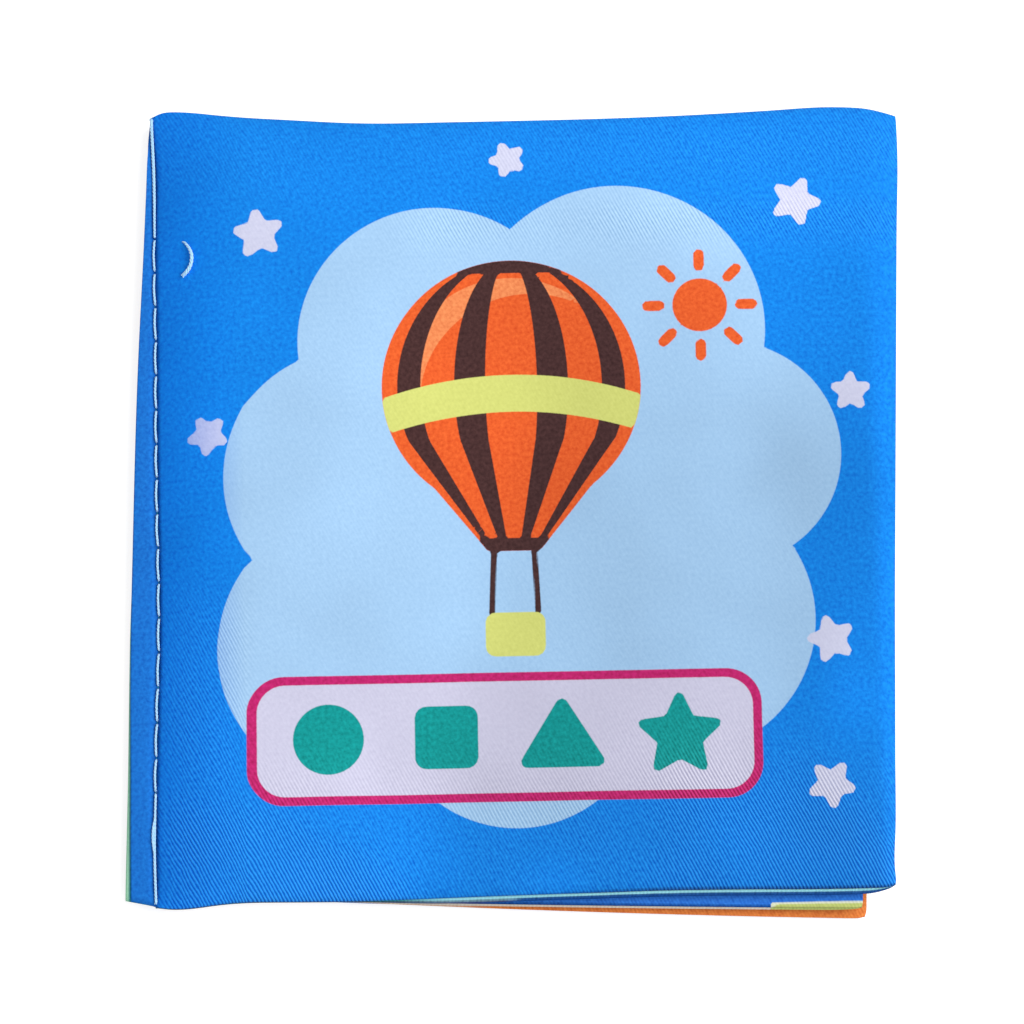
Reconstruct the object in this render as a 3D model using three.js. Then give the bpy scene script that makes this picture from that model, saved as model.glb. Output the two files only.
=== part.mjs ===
// A small cloth book: three padded leaves of printed fabric, sewn together along the spine.
// Millimetres, +Z up. The closed book lies on its back cover, with the spine to -X, the fore
// edge to +X and the head of the pages to +Y. The origin is the middle of its footprint.
// Everything is built in the frame of the stitch row, x from the row and y from the foot of the
// spine, and the finished book is moved to the origin at the end.
import * as THREE from "three";

// The front cover
const bookHeight = 106.7; // along the spine
const bookWidth = 95.3; // from the stitch row to the fore edge, at the foot

// Fabric and filling
const fabric = 0.35; // one panel of woven polyester
const panelGap = 0.1; // between the two panels of a leaf where they are sewn together
const leafGap = 0.3; // between one leaf and the next
const leafCrown = 2.4; // a padded leaf between its seams
const bookDome = 0.9; // how much the middle of the closed book swells over its borders
const wadding = 1.1; // sponge sheet inside each leaf
const film = 0.12; // crinkle film over the sponge
const fillingGap = 0.12; // between film, sponge and panels

// Shape of a leaf's border
const edgeRun = 5; // from a sewn edge to the full height
const riseStart = 1; // from the stitch row to where a leaf starts to rise
const riseRun = 10; // over which it rises to the full height
const cornerRadius = 2.4; // of the two corners at the fore edge

// Spine
const stackLift = 1; // height of the pinched spine over the table
const hingeClear = 0.45; // from the middle of the stitch row to the fabric on either side
const threadWidth = 0.5; // white sewing thread
const threadBevel = 0.12; // that rounds the thread's corners
const threadSeat = 0.05; // between the thread and the fabric that it lies on
const loopGap = 0.3; // between the needle thread's loops and the bobbin thread's
const rowEnd = 0.6; // from each end of the row to the end of the spine
const headFloatLength = 16.4; // of the long float at the head, from the row's end to a hole
const footFloatLength = 14.4; // at the foot, at least
const stitchPitch = 4.66;
const legSpread = 0.5; // from a needle hole's middle to the middle of each leg in it
const flangeHead = 0.9; // spine edge beyond the row, at the head
const flangeFoot = 4.1; // spine edge beyond the row, at the foot
const flangeBow = 0.4; // swell of the spine edge between them
const flangeSlope = 1; // how far the flange's outer corner lies above the foot of the row
const flangeReveal = 0.4; // how far the cover's inner panel shows past the outer one at the foot

// Edge seams and the tack
const edgeThreadWidth = 0.4; // thread inside a leaf that joins its two panels
const allowanceWidth = 1.7; // from the leaf's edge to that thread
const tackWidth = 0.55;
const tackSeat = 0.15; // between the tack and the cover
const tackFromRow = 4.1;
const tackBow = 1.1;
const tackDrop = 17.3; // from the row's end at the head down to the tack
const tackLength = 4.7;

// Outlines of the leaves, as they lie. A step is how far a leaf's edge lies inside the book's
// height or width, and a slant is how much further up or out that edge lies at its far end.
const backCover = {
  name: "back_cover",
  panels: ["outer_panel", "inner_panel"],
  colours: [0x1a85ee, 0xe8743a],
  headStep: 0.5,
  headSlant: -4.5,
  footStep: 2.4,
  footSlant: -4.9,
  foreStep: 3.5,
  foreSlant: 5.2,
  headHollow: 0.8,
  footBulge: 0.2,
  foreLift: 0,
  rimDroop: 0.2,
};
const middleLeaf = {
  name: "middle_leaf",
  panels: ["back_panel", "front_panel"],
  colours: [0xe9ebc4, 0x2a4fc8],
  headStep: 0.9,
  headSlant: -3.4,
  footStep: 1.4,
  footSlant: -3.1,
  foreStep: 3.7,
  foreSlant: 3.4,
  headHollow: 0.8,
  footBulge: 0.2,
  foreLift: 0.4,
  rimDroop: 0.5,
};
const frontCover = {
  name: "front_cover",
  panels: ["inner_panel", "outer_panel"],
  colours: [0x7fe0e8, 0x1a85ee],
  headStep: 0,
  headSlant: -1.6,
  footStep: 0,
  footSlant: 0.5,
  foreStep: 0,
  foreSlant: 3.5,
  headHollow: 2,
  footBulge: 0.3,
  foreLift: 1.2,
  rimDroop: 0.8,
};
const leaves = [backCover, middleLeaf, frontCover];

// How finely the curved sheets are divided
const riseSteps = 4;
const edgeSteps = 4;
const acrossSteps = 7;
const alongSteps = 6;
const fillingSteps = 5;
const bowSteps = 8;
const edgeThreadRuns = 3;
const edgeThreadSteps = 34;
const edgeThreadSides = 6;
const tackSteps = 12;
const tackSides = 8;

// Heights that follow from the sizes above
const sewnLeaf = 2 * fabric + panelGap;
const leafPitch = leafCrown + leafGap;
const sewnPitch = sewnLeaf + leafGap;
const riseEnd = riseStart + riseRun;
const stackTop = stackLift + 2 * sewnPitch + sewnLeaf;
const stackMiddle = (stackLift + stackTop) / 2;
const needleHeight = stackTop + threadSeat + threadWidth / 2;
const bobbinHeight = stackLift - threadSeat - threadWidth / 2;
const rowHead = bookHeight - rowEnd;

const book = new THREE.Group();

function mix(a, b, share) {
  return a + (b - a) * share;
}

function rise(x) {
  return THREE.MathUtils.smoothstep(x, riseStart, riseEnd);
}

// A quarter round from a sewn edge, 0 at the edge and 1 at edgeRun from it.
function roundUp(distance) {
  const left = 1 - THREE.MathUtils.clamp(distance / edgeRun, 0, 1);
  return Math.sqrt(1 - left * left);
}

function evenShares(steps) {
  return Array.from({ length: steps + 1 }, (_, i) => i / steps);
}

// Distances from a sewn edge that are even round the quarter round, from the edge inwards.
const edgeDistances = evenShares(edgeSteps).map(
  (share) => edgeRun * (1 - Math.cos((share * Math.PI) / 2)),
);

// The outline of a leaf: its head and foot at a share of its width.
function headAt(leaf, share) {
  const hollow = 4 * leaf.headHollow * share * (1 - share);
  return bookHeight - leaf.headStep + leaf.headSlant * share - hollow;
}

function footAt(leaf, share) {
  const bulge = 4 * leaf.footBulge * share * (1 - share);
  return leaf.footStep + leaf.footSlant * share - bulge;
}

// A place in a leaf where a line along it crosses one across it. A column gives x from the width
// of the leaf there, and a row gives y from the foot and the head there.
function placeAt(leaf, column, row) {
  const seamFoot = footAt(leaf, 0);
  const seamHead = headAt(leaf, 0);
  const alongShare = (row(seamFoot, seamHead) - seamFoot) / (seamHead - seamFoot);
  const fore = bookWidth - leaf.foreStep + leaf.foreSlant * alongShare;
  const x = column(fore);
  const acrossShare = x / fore;
  const foot = footAt(leaf, acrossShare);
  const head = headAt(leaf, acrossShare);
  const y = row(foot, head);
  return { x, y, acrossShare, alongShare, toFore: fore - x, toHead: head - y, toFoot: y - foot };
}

// Where the fabric lies at a place, with the corners at the fore edge rounded off.
function roundedCorners(place) {
  const nearFore = Math.max(0, 1 - place.toFore / cornerRadius);
  const nearHead = Math.max(0, 1 - place.toHead / cornerRadius);
  const nearFoot = Math.max(0, 1 - place.toFoot / cornerRadius);
  const cut = cornerRadius * (1 - Math.SQRT1_2);
  return {
    x: place.x - cut * nearFore * (nearHead + nearFoot),
    y: place.y + cut * nearFore * (nearFoot - nearHead),
  };
}

// The under and upper surface of a leaf at a place in it: rounded up from its sewn edges to its
// full height, and drawn down to its place in the pinched stack at the spine.
function surfacesAt(leaf, place) {
  const level = leaves.indexOf(leaf);
  const { acrossShare, alongShare } = place;
  const round = roundUp(place.toFore) * roundUp(place.toHead) * roundUp(place.toFoot);
  const dome = 16 * acrossShare * (1 - acrossShare) * alongShare * (1 - alongShare);
  const domeStep = (bookDome / leaves.length) * dome;
  const lift = leaf.foreLift * acrossShare;
  const fullUnder = level * (leafPitch + domeStep) + lift;
  const fullUpper = fullUnder + leafCrown + domeStep;
  const hingeMiddle = stackLift + level * sewnPitch + sewnLeaf / 2;
  const rimMiddle = level * leafPitch + leafCrown / 2 + lift - leaf.rimDroop;
  const under = mix(rimMiddle - sewnLeaf / 2, fullUnder, round);
  const upper = mix(rimMiddle + sewnLeaf / 2, fullUpper, round);
  return {
    under: mix(hingeMiddle - sewnLeaf / 2, under, rise(place.x)),
    upper: mix(hingeMiddle + sewnLeaf / 2, upper, rise(place.x)),
  };
}

// Grid lines across a leaf: up the rise at the spine, over the filling and down the fore edge.
function panelColumns() {
  const up = evenShares(riseSteps).map((share) => () => mix(hingeClear, riseEnd, share));
  const over = evenShares(acrossSteps)
    .slice(1, -1)
    .map((share) => (fore) => mix(riseEnd, fore - edgeRun, share));
  const down = edgeDistances.map((distance) => (fore) => fore - distance).reverse();
  return [...up, ...over, ...down];
}

function panelRows() {
  const foot = edgeDistances.map((distance) => (low) => low + distance);
  const over = evenShares(alongSteps)
    .slice(1, -1)
    .map((share) => (low, high) => mix(low + edgeRun, high - edgeRun, share));
  const head = edgeDistances.map((distance) => (low, high) => high - distance).reverse();
  return [...foot, ...over, ...head];
}

// The filling keeps to the full height, inside the rise and the edges.
function fillingColumns() {
  return evenShares(fillingSteps).map((share) => (fore) => mix(riseEnd, fore - edgeRun, share));
}

function fillingRows() {
  return evenShares(fillingSteps).map((share) => (low, high) => mix(low + edgeRun, high - edgeRun, share));
}

// A closed sheet between two heights over a grid of places.
function sheet(leaf, columns, rows, heights) {
  const positions = [];
  const faces = [];
  const wide = columns.length;
  const count = wide * rows.length;
  for (const side of ["low", "high"]) {
    for (const row of rows) {
      for (const column of columns) {
        const place = placeAt(leaf, column, row);
        const lie = roundedCorners(place);
        positions.push(lie.x, lie.y, heights(place)[side]);
      }
    }
  }
  const quad = (a, b, c, d) => faces.push(a, b, c, a, c, d);
  for (let r = 0; r + 1 < rows.length; r += 1) {
    for (let c = 0; c + 1 < wide; c += 1) {
      const a = r * wide + c;
      quad(a, a + wide, a + wide + 1, a + 1);
      quad(count + a, count + a + 1, count + a + wide + 1, count + a + wide);
    }
    const left = r * wide;
    const right = left + wide - 1;
    quad(left + wide, left, count + left, count + left + wide);
    quad(right, right + wide, count + right + wide, count + right);
  }
  for (let c = 0; c + 1 < wide; c += 1) {
    const far = count - wide + c;
    quad(c, c + 1, count + c + 1, count + c);
    quad(far + 1, far, count + far, count + far + 1);
  }
  const geometry = new THREE.BufferGeometry();
  geometry.setAttribute("position", new THREE.Float32BufferAttribute(positions, 3));
  geometry.setIndex(faces);
  geometry.computeVertexNormals();
  return geometry;
}

function material(color, roughness) {
  return new THREE.MeshStandardMaterial({ color, roughness, metalness: 0 });
}

function addMesh(name, geometry, surface) {
  const mesh = new THREE.Mesh(geometry, surface);
  mesh.name = name;
  book.add(mesh);
  return mesh;
}

const threadSurface = material(0xf4f2ee, 0.6);
const filmSurface = material(0xdfe3e6, 0.3);
const waddingSurface = material(0xf2f0ea, 0.95);

// The two fabric panels of a leaf, the lower one first.
function addPanels(leaf) {
  const lower = (place) => {
    const { under } = surfacesAt(leaf, place);
    return { low: under, high: under + fabric };
  };
  const upper = (place) => {
    const { upper: top } = surfacesAt(leaf, place);
    return { low: top - fabric, high: top };
  };
  [lower, upper].forEach((heights, side) => {
    const geometry = sheet(leaf, panelColumns(), panelRows(), heights);
    addMesh(`${leaf.name}_${leaf.panels[side]}`, geometry, material(leaf.colours[side], 0.8));
  });
}

// Sponge on the lower panel and crinkle film on the sponge.
function addFilling(leaf) {
  const spongeFloor = (place) => surfacesAt(leaf, place).under + fabric + fillingGap;
  const sponge = (place) => {
    const low = spongeFloor(place);
    return { low, high: low + wadding };
  };
  const crinkle = (place) => {
    const low = spongeFloor(place) + wadding + fillingGap;
    return { low, high: low + film };
  };
  const spongeSheet = sheet(leaf, fillingColumns(), fillingRows(), sponge);
  const filmSheet = sheet(leaf, fillingColumns(), fillingRows(), crinkle);
  addMesh(`${leaf.name}_wadding`, spongeSheet, waddingSurface);
  addMesh(`${leaf.name}_crinkle_film`, filmSheet, filmSurface);
}

function roundSection(width, sides) {
  const section = new THREE.Shape();
  section.absarc(0, 0, width / 2, 0, 2 * Math.PI);
  return new THREE.Shape(section.getPoints(sides).slice(0, sides));
}

function tube(path, width, sides, steps) {
  return new THREE.ExtrudeGeometry(roundSection(width, sides), { extrudePath: path, steps });
}

// Thread inside a leaf along its head, fore edge and foot, midway between the panels.
function addEdgeThread(leaf) {
  const bend = cornerRadius + 2 * allowanceWidth;
  const nearFore = (fore) => fore - allowanceWidth;
  const atHead = (low, high) => high - allowanceWidth;
  const atFoot = (low) => low + allowanceWidth;
  const across = evenShares(edgeThreadRuns).map((share) => (fore) => mix(riseEnd, fore - bend, share));
  const along = evenShares(edgeThreadRuns).map((share) => (low, high) => mix(high - bend, low + bend, share));
  const route = [
    ...across.map((column) => [column, atHead]),
    ...along.map((row) => [nearFore, row]),
    ...across.reverse().map((column) => [column, atFoot]),
  ].map(([column, row]) => {
    const place = placeAt(leaf, column, row);
    const { under, upper } = surfacesAt(leaf, place);
    return new THREE.Vector3(place.x, place.y, (under + upper) / 2);
  });
  const path = new THREE.CatmullRomCurve3(route, false, "centripetal");
  const geometry = tube(path, edgeThreadWidth, edgeThreadSides, edgeThreadSteps);
  addMesh(`${leaf.name}_edge_thread`, geometry, threadSurface);
}

// The fabric left of the stitch row: one strip for each panel, in the pinched stack.
function addSpineEdges(leaf) {
  const level = leaves.indexOf(leaf);
  leaf.panels.forEach((panel, side) => {
    const reveal = panel === "inner_panel" && leaf === frontCover ? flangeReveal : 0;
    const footX = -flangeFoot - reveal;
    const bowX = (footX - flangeHead) / 2 - 2 * flangeBow;
    const bowY = (flangeSlope + bookHeight) / 2;
    const outline = new THREE.Shape();
    outline.moveTo(-hingeClear, 0);
    outline.lineTo(-hingeClear, bookHeight);
    outline.lineTo(-flangeHead, bookHeight);
    outline.quadraticCurveTo(bowX, bowY, footX, flangeSlope);
    outline.closePath();
    const geometry = new THREE.ExtrudeGeometry(outline, {
      depth: fabric,
      bevelEnabled: false,
      curveSegments: bowSteps,
    });
    const name = `${leaf.name}_${panel}_spine_edge`;
    const strip = addMesh(name, geometry, material(leaf.colours[side], 0.8));
    strip.position.z = stackLift + level * sewnPitch + side * (fabric + panelGap);
  });
}

// A stitched thread seen from the side: floats on one face of the stack, and at each needle hole
// a loop that reaches towards the middle of the stack. It is drawn with y along the row and z up.
function stitchedThread(floatHeight, loopHeight) {
  const half = threadWidth / 2;
  const away = Math.sign(floatHeight - loopHeight);
  const outer = floatHeight + away * half;
  const inner = floatHeight - away * half;
  const loopInner = loopHeight + away * half;
  const loopOuter = loopHeight - away * half;
  const firstHole = rowHead - headFloatLength;
  const stitches = Math.floor((firstHole - rowEnd - footFloatLength) / stitchPitch);
  const holes = Array.from({ length: stitches + 1 }, (_, i) => firstHole - i * stitchPitch);
  const points = [[rowHead, outer]];
  for (const hole of holes) {
    points.push([hole + legSpread - half, outer], [hole + legSpread - half, loopInner]);
    points.push([hole - legSpread + half, loopInner], [hole - legSpread + half, outer]);
  }
  points.push([rowEnd, outer], [rowEnd, inner]);
  for (const hole of holes.reverse()) {
    points.push([hole - legSpread - half, inner], [hole - legSpread - half, loopOuter]);
    points.push([hole + legSpread + half, loopOuter], [hole + legSpread + half, inner]);
  }
  points.push([rowHead, inner]);
  const outline = new THREE.Shape(points.map(([y, z]) => new THREE.Vector2(y, z)));
  const geometry = new THREE.ExtrudeGeometry(outline, {
    depth: threadWidth - 2 * threadBevel,
    bevelThickness: threadBevel,
    bevelSize: threadBevel,
    bevelOffset: -threadBevel,
    bevelSegments: 1,
  });
  geometry.translate(0, 0, threadBevel - half);
  return geometry;
}

function addStitching() {
  const loopReach = (loopGap + threadWidth) / 2;
  const needle = stitchedThread(needleHeight, stackMiddle + loopReach);
  const bobbin = stitchedThread(bobbinHeight, stackMiddle - loopReach);
  for (const [name, geometry] of [["needle_thread", needle], ["bobbin_thread", bobbin]]) {
    const thread = addMesh(name, geometry, threadSurface);
    thread.rotation.set(Math.PI / 2, 0, Math.PI / 2, "ZYX");
  }
}

// A short bowed stitch that lies on the front cover beside the spine.
function addTack() {
  const route = evenShares(4).map((share) => {
    const x = tackFromRow + 4 * tackBow * share * (1 - share);
    const y = rowHead - tackDrop - share * tackLength;
    const place = placeAt(frontCover, () => x + tackWidth / 2, () => y);
    return new THREE.Vector3(x, y, surfacesAt(frontCover, place).upper + tackSeat + tackWidth / 2);
  });
  const path = new THREE.CatmullRomCurve3(route);
  addMesh("front_cover_tack_thread", tube(path, tackWidth, tackSides, tackSteps), threadSurface);
}

for (const leaf of leaves) {
  addPanels(leaf);
  addFilling(leaf);
  addEdgeThread(leaf);
  addSpineEdges(leaf);
}
addStitching();
addTack();

const footprint = new THREE.Box3().setFromObject(book).getCenter(new THREE.Vector3());
book.position.set(-footprint.x, -footprint.y, 0);

export default book;
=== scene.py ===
"""Looks of the crinkle cloth book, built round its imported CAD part.

Three padded leaves of printed polyester twill are sewn together along the spine by one row of
white lockstitch. Each leaf holds a sponge sheet and a sheet of crinkle film.

Sizes are millimetres. Places are measured as in the CAD source: x from the stitch row towards
the fore edge, y from the foot of the spine towards the head, and z up from the table. Binding
turns them into the metres of the row frame.
"""

import functools
import logging
import math
from dataclasses import dataclass, field
from enum import Enum
from typing import Callable

import bmesh
import bpy
import numpy as np
from mathutils import Matrix, Vector, noise


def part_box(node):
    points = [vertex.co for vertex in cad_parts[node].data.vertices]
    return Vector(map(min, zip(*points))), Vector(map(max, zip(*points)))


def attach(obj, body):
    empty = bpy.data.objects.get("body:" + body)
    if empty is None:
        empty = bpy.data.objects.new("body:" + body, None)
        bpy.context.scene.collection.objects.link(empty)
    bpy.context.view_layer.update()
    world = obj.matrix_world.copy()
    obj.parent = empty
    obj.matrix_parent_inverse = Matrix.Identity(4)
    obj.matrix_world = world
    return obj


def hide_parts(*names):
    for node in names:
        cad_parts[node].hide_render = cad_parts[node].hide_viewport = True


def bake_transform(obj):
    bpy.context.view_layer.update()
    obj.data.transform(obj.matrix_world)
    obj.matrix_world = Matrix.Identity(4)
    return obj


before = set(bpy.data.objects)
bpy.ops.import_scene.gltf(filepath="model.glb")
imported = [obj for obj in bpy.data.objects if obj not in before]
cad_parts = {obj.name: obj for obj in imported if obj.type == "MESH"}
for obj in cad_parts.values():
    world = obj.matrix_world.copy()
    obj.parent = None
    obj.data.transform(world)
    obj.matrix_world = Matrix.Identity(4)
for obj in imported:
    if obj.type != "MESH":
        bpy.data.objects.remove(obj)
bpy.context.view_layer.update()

MM = 0.001
LEAF_WIDE = 93.0  # Round sizes of a leaf, by which its nets and edges are spaced
SPINE_LONG = 106.0
log = logging.getLogger("cloth_book")

Array = np.ndarray
Shape = Callable[[Array, Array], Array]


def smooth_share(value: Array, low: float, high: float) -> Array:
    """Turns values into shares that start and end gently, from 0 at low to 1 at high."""
    share = np.clip((value - low) / (high - low), 0.0, 1.0)
    return share * share * (3.0 - 2.0 * share)


def mix(a: Array, b: Array, share: Array) -> Array:
    """Returns what lies at a share of the way from a to b."""
    return a + (b - a) * share


def linear(hex_colour: str) -> tuple[float, float, float, float]:
    """Turns an sRGB hex colour into linear light.

    Args:
        hex_colour: Colour such as "#1a85ee".

    Returns:
        Linear red, green and blue, and an alpha of 1.
    """
    parts = [int(hex_colour[i : i + 2], 16) / 255.0 for i in (1, 3, 5)]
    red, green, blue = (p / 12.92 if p <= 0.04045 else ((p + 0.055) / 1.055) ** 2.4 for p in parts)
    return red, green, blue, 1.0


def even(value: float) -> Shape:
    """The same value at every place."""
    return lambda u, v: np.full(u.shape, value)


def run_along(points: Array) -> Array:
    """How far each point lies along the line through all of them."""
    return np.concatenate([[0.0], np.cumsum(np.linalg.norm(np.diff(points, axis=0), axis=1))])


def add_object(name: str, data: bpy.types.ID) -> bpy.types.Object:
    """Puts a new object with its data in the scene."""
    made = bpy.data.objects.new(name, data)
    bpy.context.scene.collection.objects.link(made)
    return made


def mesh_object(name: str, bm: bmesh.types.BMesh, smooth: bool = False) -> bpy.types.Object:
    """Makes an object of a bmesh and frees it.

    Args:
        name: Name of the object and its mesh.
        bm: The bmesh.
        smooth: Whether its faces are shaded smooth.

    Returns:
        The object, in the scene.
    """
    for face in bm.faces:
        face.smooth = smooth
    mesh = bpy.data.meshes.new(name)
    bm.to_mesh(mesh)
    bm.free()
    return add_object(name, mesh)


def closed_pad(
    name: str, faces: tuple[int, int], place: Callable[[float, float, float], Vector], smooth: bool
) -> bpy.types.Object:
    """Makes a closed pad of two grids that meet at their rims.

    Args:
        name: Name of the object.
        faces: Number of faces across and along.
        place: Gives a point's place from its side, 1 or -1, and its shares across and along.
        smooth: Whether its faces are shaded smooth.

    Returns:
        The pad, with its faces outward.
    """
    bm = bmesh.new()
    for side in (1.0, -1.0):
        for vert in bmesh.ops.create_grid(bm, x_segments=faces[0], y_segments=faces[1], size=1.0)["verts"]:
            vert.co = place(side, (vert.co.x + 1) / 2, (vert.co.y + 1) / 2)
    bmesh.ops.remove_doubles(bm, verts=bm.verts, dist=0.01 * MM)
    bmesh.ops.recalc_face_normals(bm, faces=bm.faces)
    return mesh_object(name, bm, smooth)


@functools.cache
def row_foot(row_end: float) -> Vector:
    """Finds the foot of the spine on the table, row_end millimetres past the end of the stitch row."""
    low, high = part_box("needle_thread")
    return Vector(((low.x + high.x) / 2, low.y - row_end * MM, 0.0))


@dataclass(frozen=True)
class MeasuredLine:
    """A smooth line through measured points, as a height over a place.

    Attributes:
        points: Pairs of place and height in millimetres, in rising order of place.
    """

    points: tuple[tuple[float, float], ...]

    def __call__(self, place: Array) -> Array:
        """Reads the line.

        Args:
            place: Places in millimetres. Past either end the line goes on level.

        Returns:
            Heights in millimetres.
        """
        at = np.array([p[0] for p in self.points])
        height = np.array([p[1] for p in self.points])
        slope = np.gradient(height, at)
        place = np.clip(np.asarray(place, float), at[0], at[-1])
        k = np.clip(np.searchsorted(at, place) - 1, 0, len(at) - 2)
        span = at[k + 1] - at[k]
        t = (place - at[k]) / span
        first = (1 + 2 * t) * (1 - t) ** 2 * height[k] + t * t * (3 - 2 * t) * height[k + 1]
        return first + span * (t * (1 - t) ** 2 * slope[k] - t * t * (1 - t) * slope[k + 1])


@dataclass(frozen=True)
class Binding:
    """The sewn spine, and where it lies in the row frame.

    Attributes:
        fabric: Thickness of one panel.
        panel_gap: Gap between the two panels of a leaf where they are sewn.
        leaf_gap: Gap between one leaf and the next.
        stack_lift: Height of the pinched spine over the table.
        row_end: From each end of the stitch row to the end of the spine.
        hinge_run: From the row to where a leaf turns as one with its body. Not used.
        first_hole: The needle hole at the end of the long float at the head, as y.
        pitch: From one needle hole to the next.
        stitches: Number of short stitches.
        hole_reach: How far along the row a needle hole holds the groove up.
        groove_reach: How far to the side the groove reaches.
        row: How far the stitch row strays from its straight line, over y.
        flange: Left edge of the cover's outer panel, over y.
        flange_inner: Left edge of its inner panel, over y.
    """

    fabric: float = 0.35
    panel_gap: float = 0.1
    leaf_gap: float = 0.3
    stack_lift: float = 1.0
    row_end: float = 0.6
    hinge_run: float = 3.6
    first_hole: float = 89.7
    pitch: float = 4.66
    stitches: int = 16
    hole_reach: float = 0.4
    groove_reach: float = 0.36
    row: MeasuredLine = MeasuredLine(
        ((0.4, -0.26), (4.8, -0.28), (9.5, -0.27), (14.2, -0.25), (18.8, -0.16), (23.5, -0.03), (28.2, 0.1),
         (32.9, 0.25), (37.6, 0.3), (42.2, 0.3), (46.9, 0.24), (51.6, 0.13), (56.3, 0.1), (61.0, 0.06),
         (70.3, 0.05), (75.0, 0.05), (79.7, 0.0), (84.4, -0.08), (89.3, -0.07), (93.3, -0.07), (95.3, -0.01),
         (99.3, -0.04), (101.3, -0.2), (103.0, -0.38), (106.2, -0.42))
    )
    flange: MeasuredLine = MeasuredLine(
        ((1.34, -3.52), (7.75, -3.53), (17.1, -3.48), (27.8, -3.5), (35.8, -3.43), (46.5, -3.15),
         (73.3, -2.28), (89.3, -1.44), (97.3, -1.08), (101.3, -0.9), (102.7, -0.74), (104.0, -0.56),
         (106.2, -0.5))
    )
    flange_inner: MeasuredLine = MeasuredLine(
        ((1.3, -4.25), (9.0, -4.05), (17.0, -3.85), (27.8, -3.68), (35.8, -3.53), (46.5, -3.1),
         (73.3, -2.1), (89.3, -1.3), (101.3, -0.7), (106.2, -0.45))
    )

    @property
    def sewn_leaf(self) -> float:
        """Thickness of a leaf in the pinched spine."""
        return 2 * self.fabric + self.panel_gap

    @property
    def sewn_pitch(self) -> float:
        """From one leaf to the next in the pinched spine."""
        return self.sewn_leaf + self.leaf_gap

    @property
    def stack_top(self) -> float:
        """Height of the top of the pinched spine."""
        return self.stack_lift + 2 * self.sewn_pitch + self.sewn_leaf

    def origin(self) -> Vector:
        """The foot of the stitch row in the row frame, in metres."""
        return row_foot(self.row_end)

    def valley(self, x: Array, y: Array, depth: float) -> Array:
        """The groove that the thread pulls, a little less deep at the needle holes.

        Args:
            x: Distances from the row.
            y: Places along it.
            depth: Of the groove between two holes.

        Returns:
            Depths in millimetres.
        """
        from_hole = (self.first_hole - y + self.pitch / 2) % self.pitch - self.pitch / 2
        at_hole = np.exp(-((from_hole / self.hole_reach) ** 2))
        short = (y < self.first_hole + 1) & (y > self.first_hole - self.stitches * self.pitch - 1)
        held_up = 1 - 0.45 * np.where(short, at_hole, 0.0)
        ends = smooth_share(y, 0.3, 2.2) * (1 - smooth_share(y, 104.0, 105.9))
        return depth * ends * held_up * np.exp(-((x / self.groove_reach) ** 2))

    def place(self, points: Array) -> Array:
        """Moves rows of x, y and z from the book's own millimetres into the metres of the row frame."""
        return points * MM + np.array(self.origin())


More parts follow.
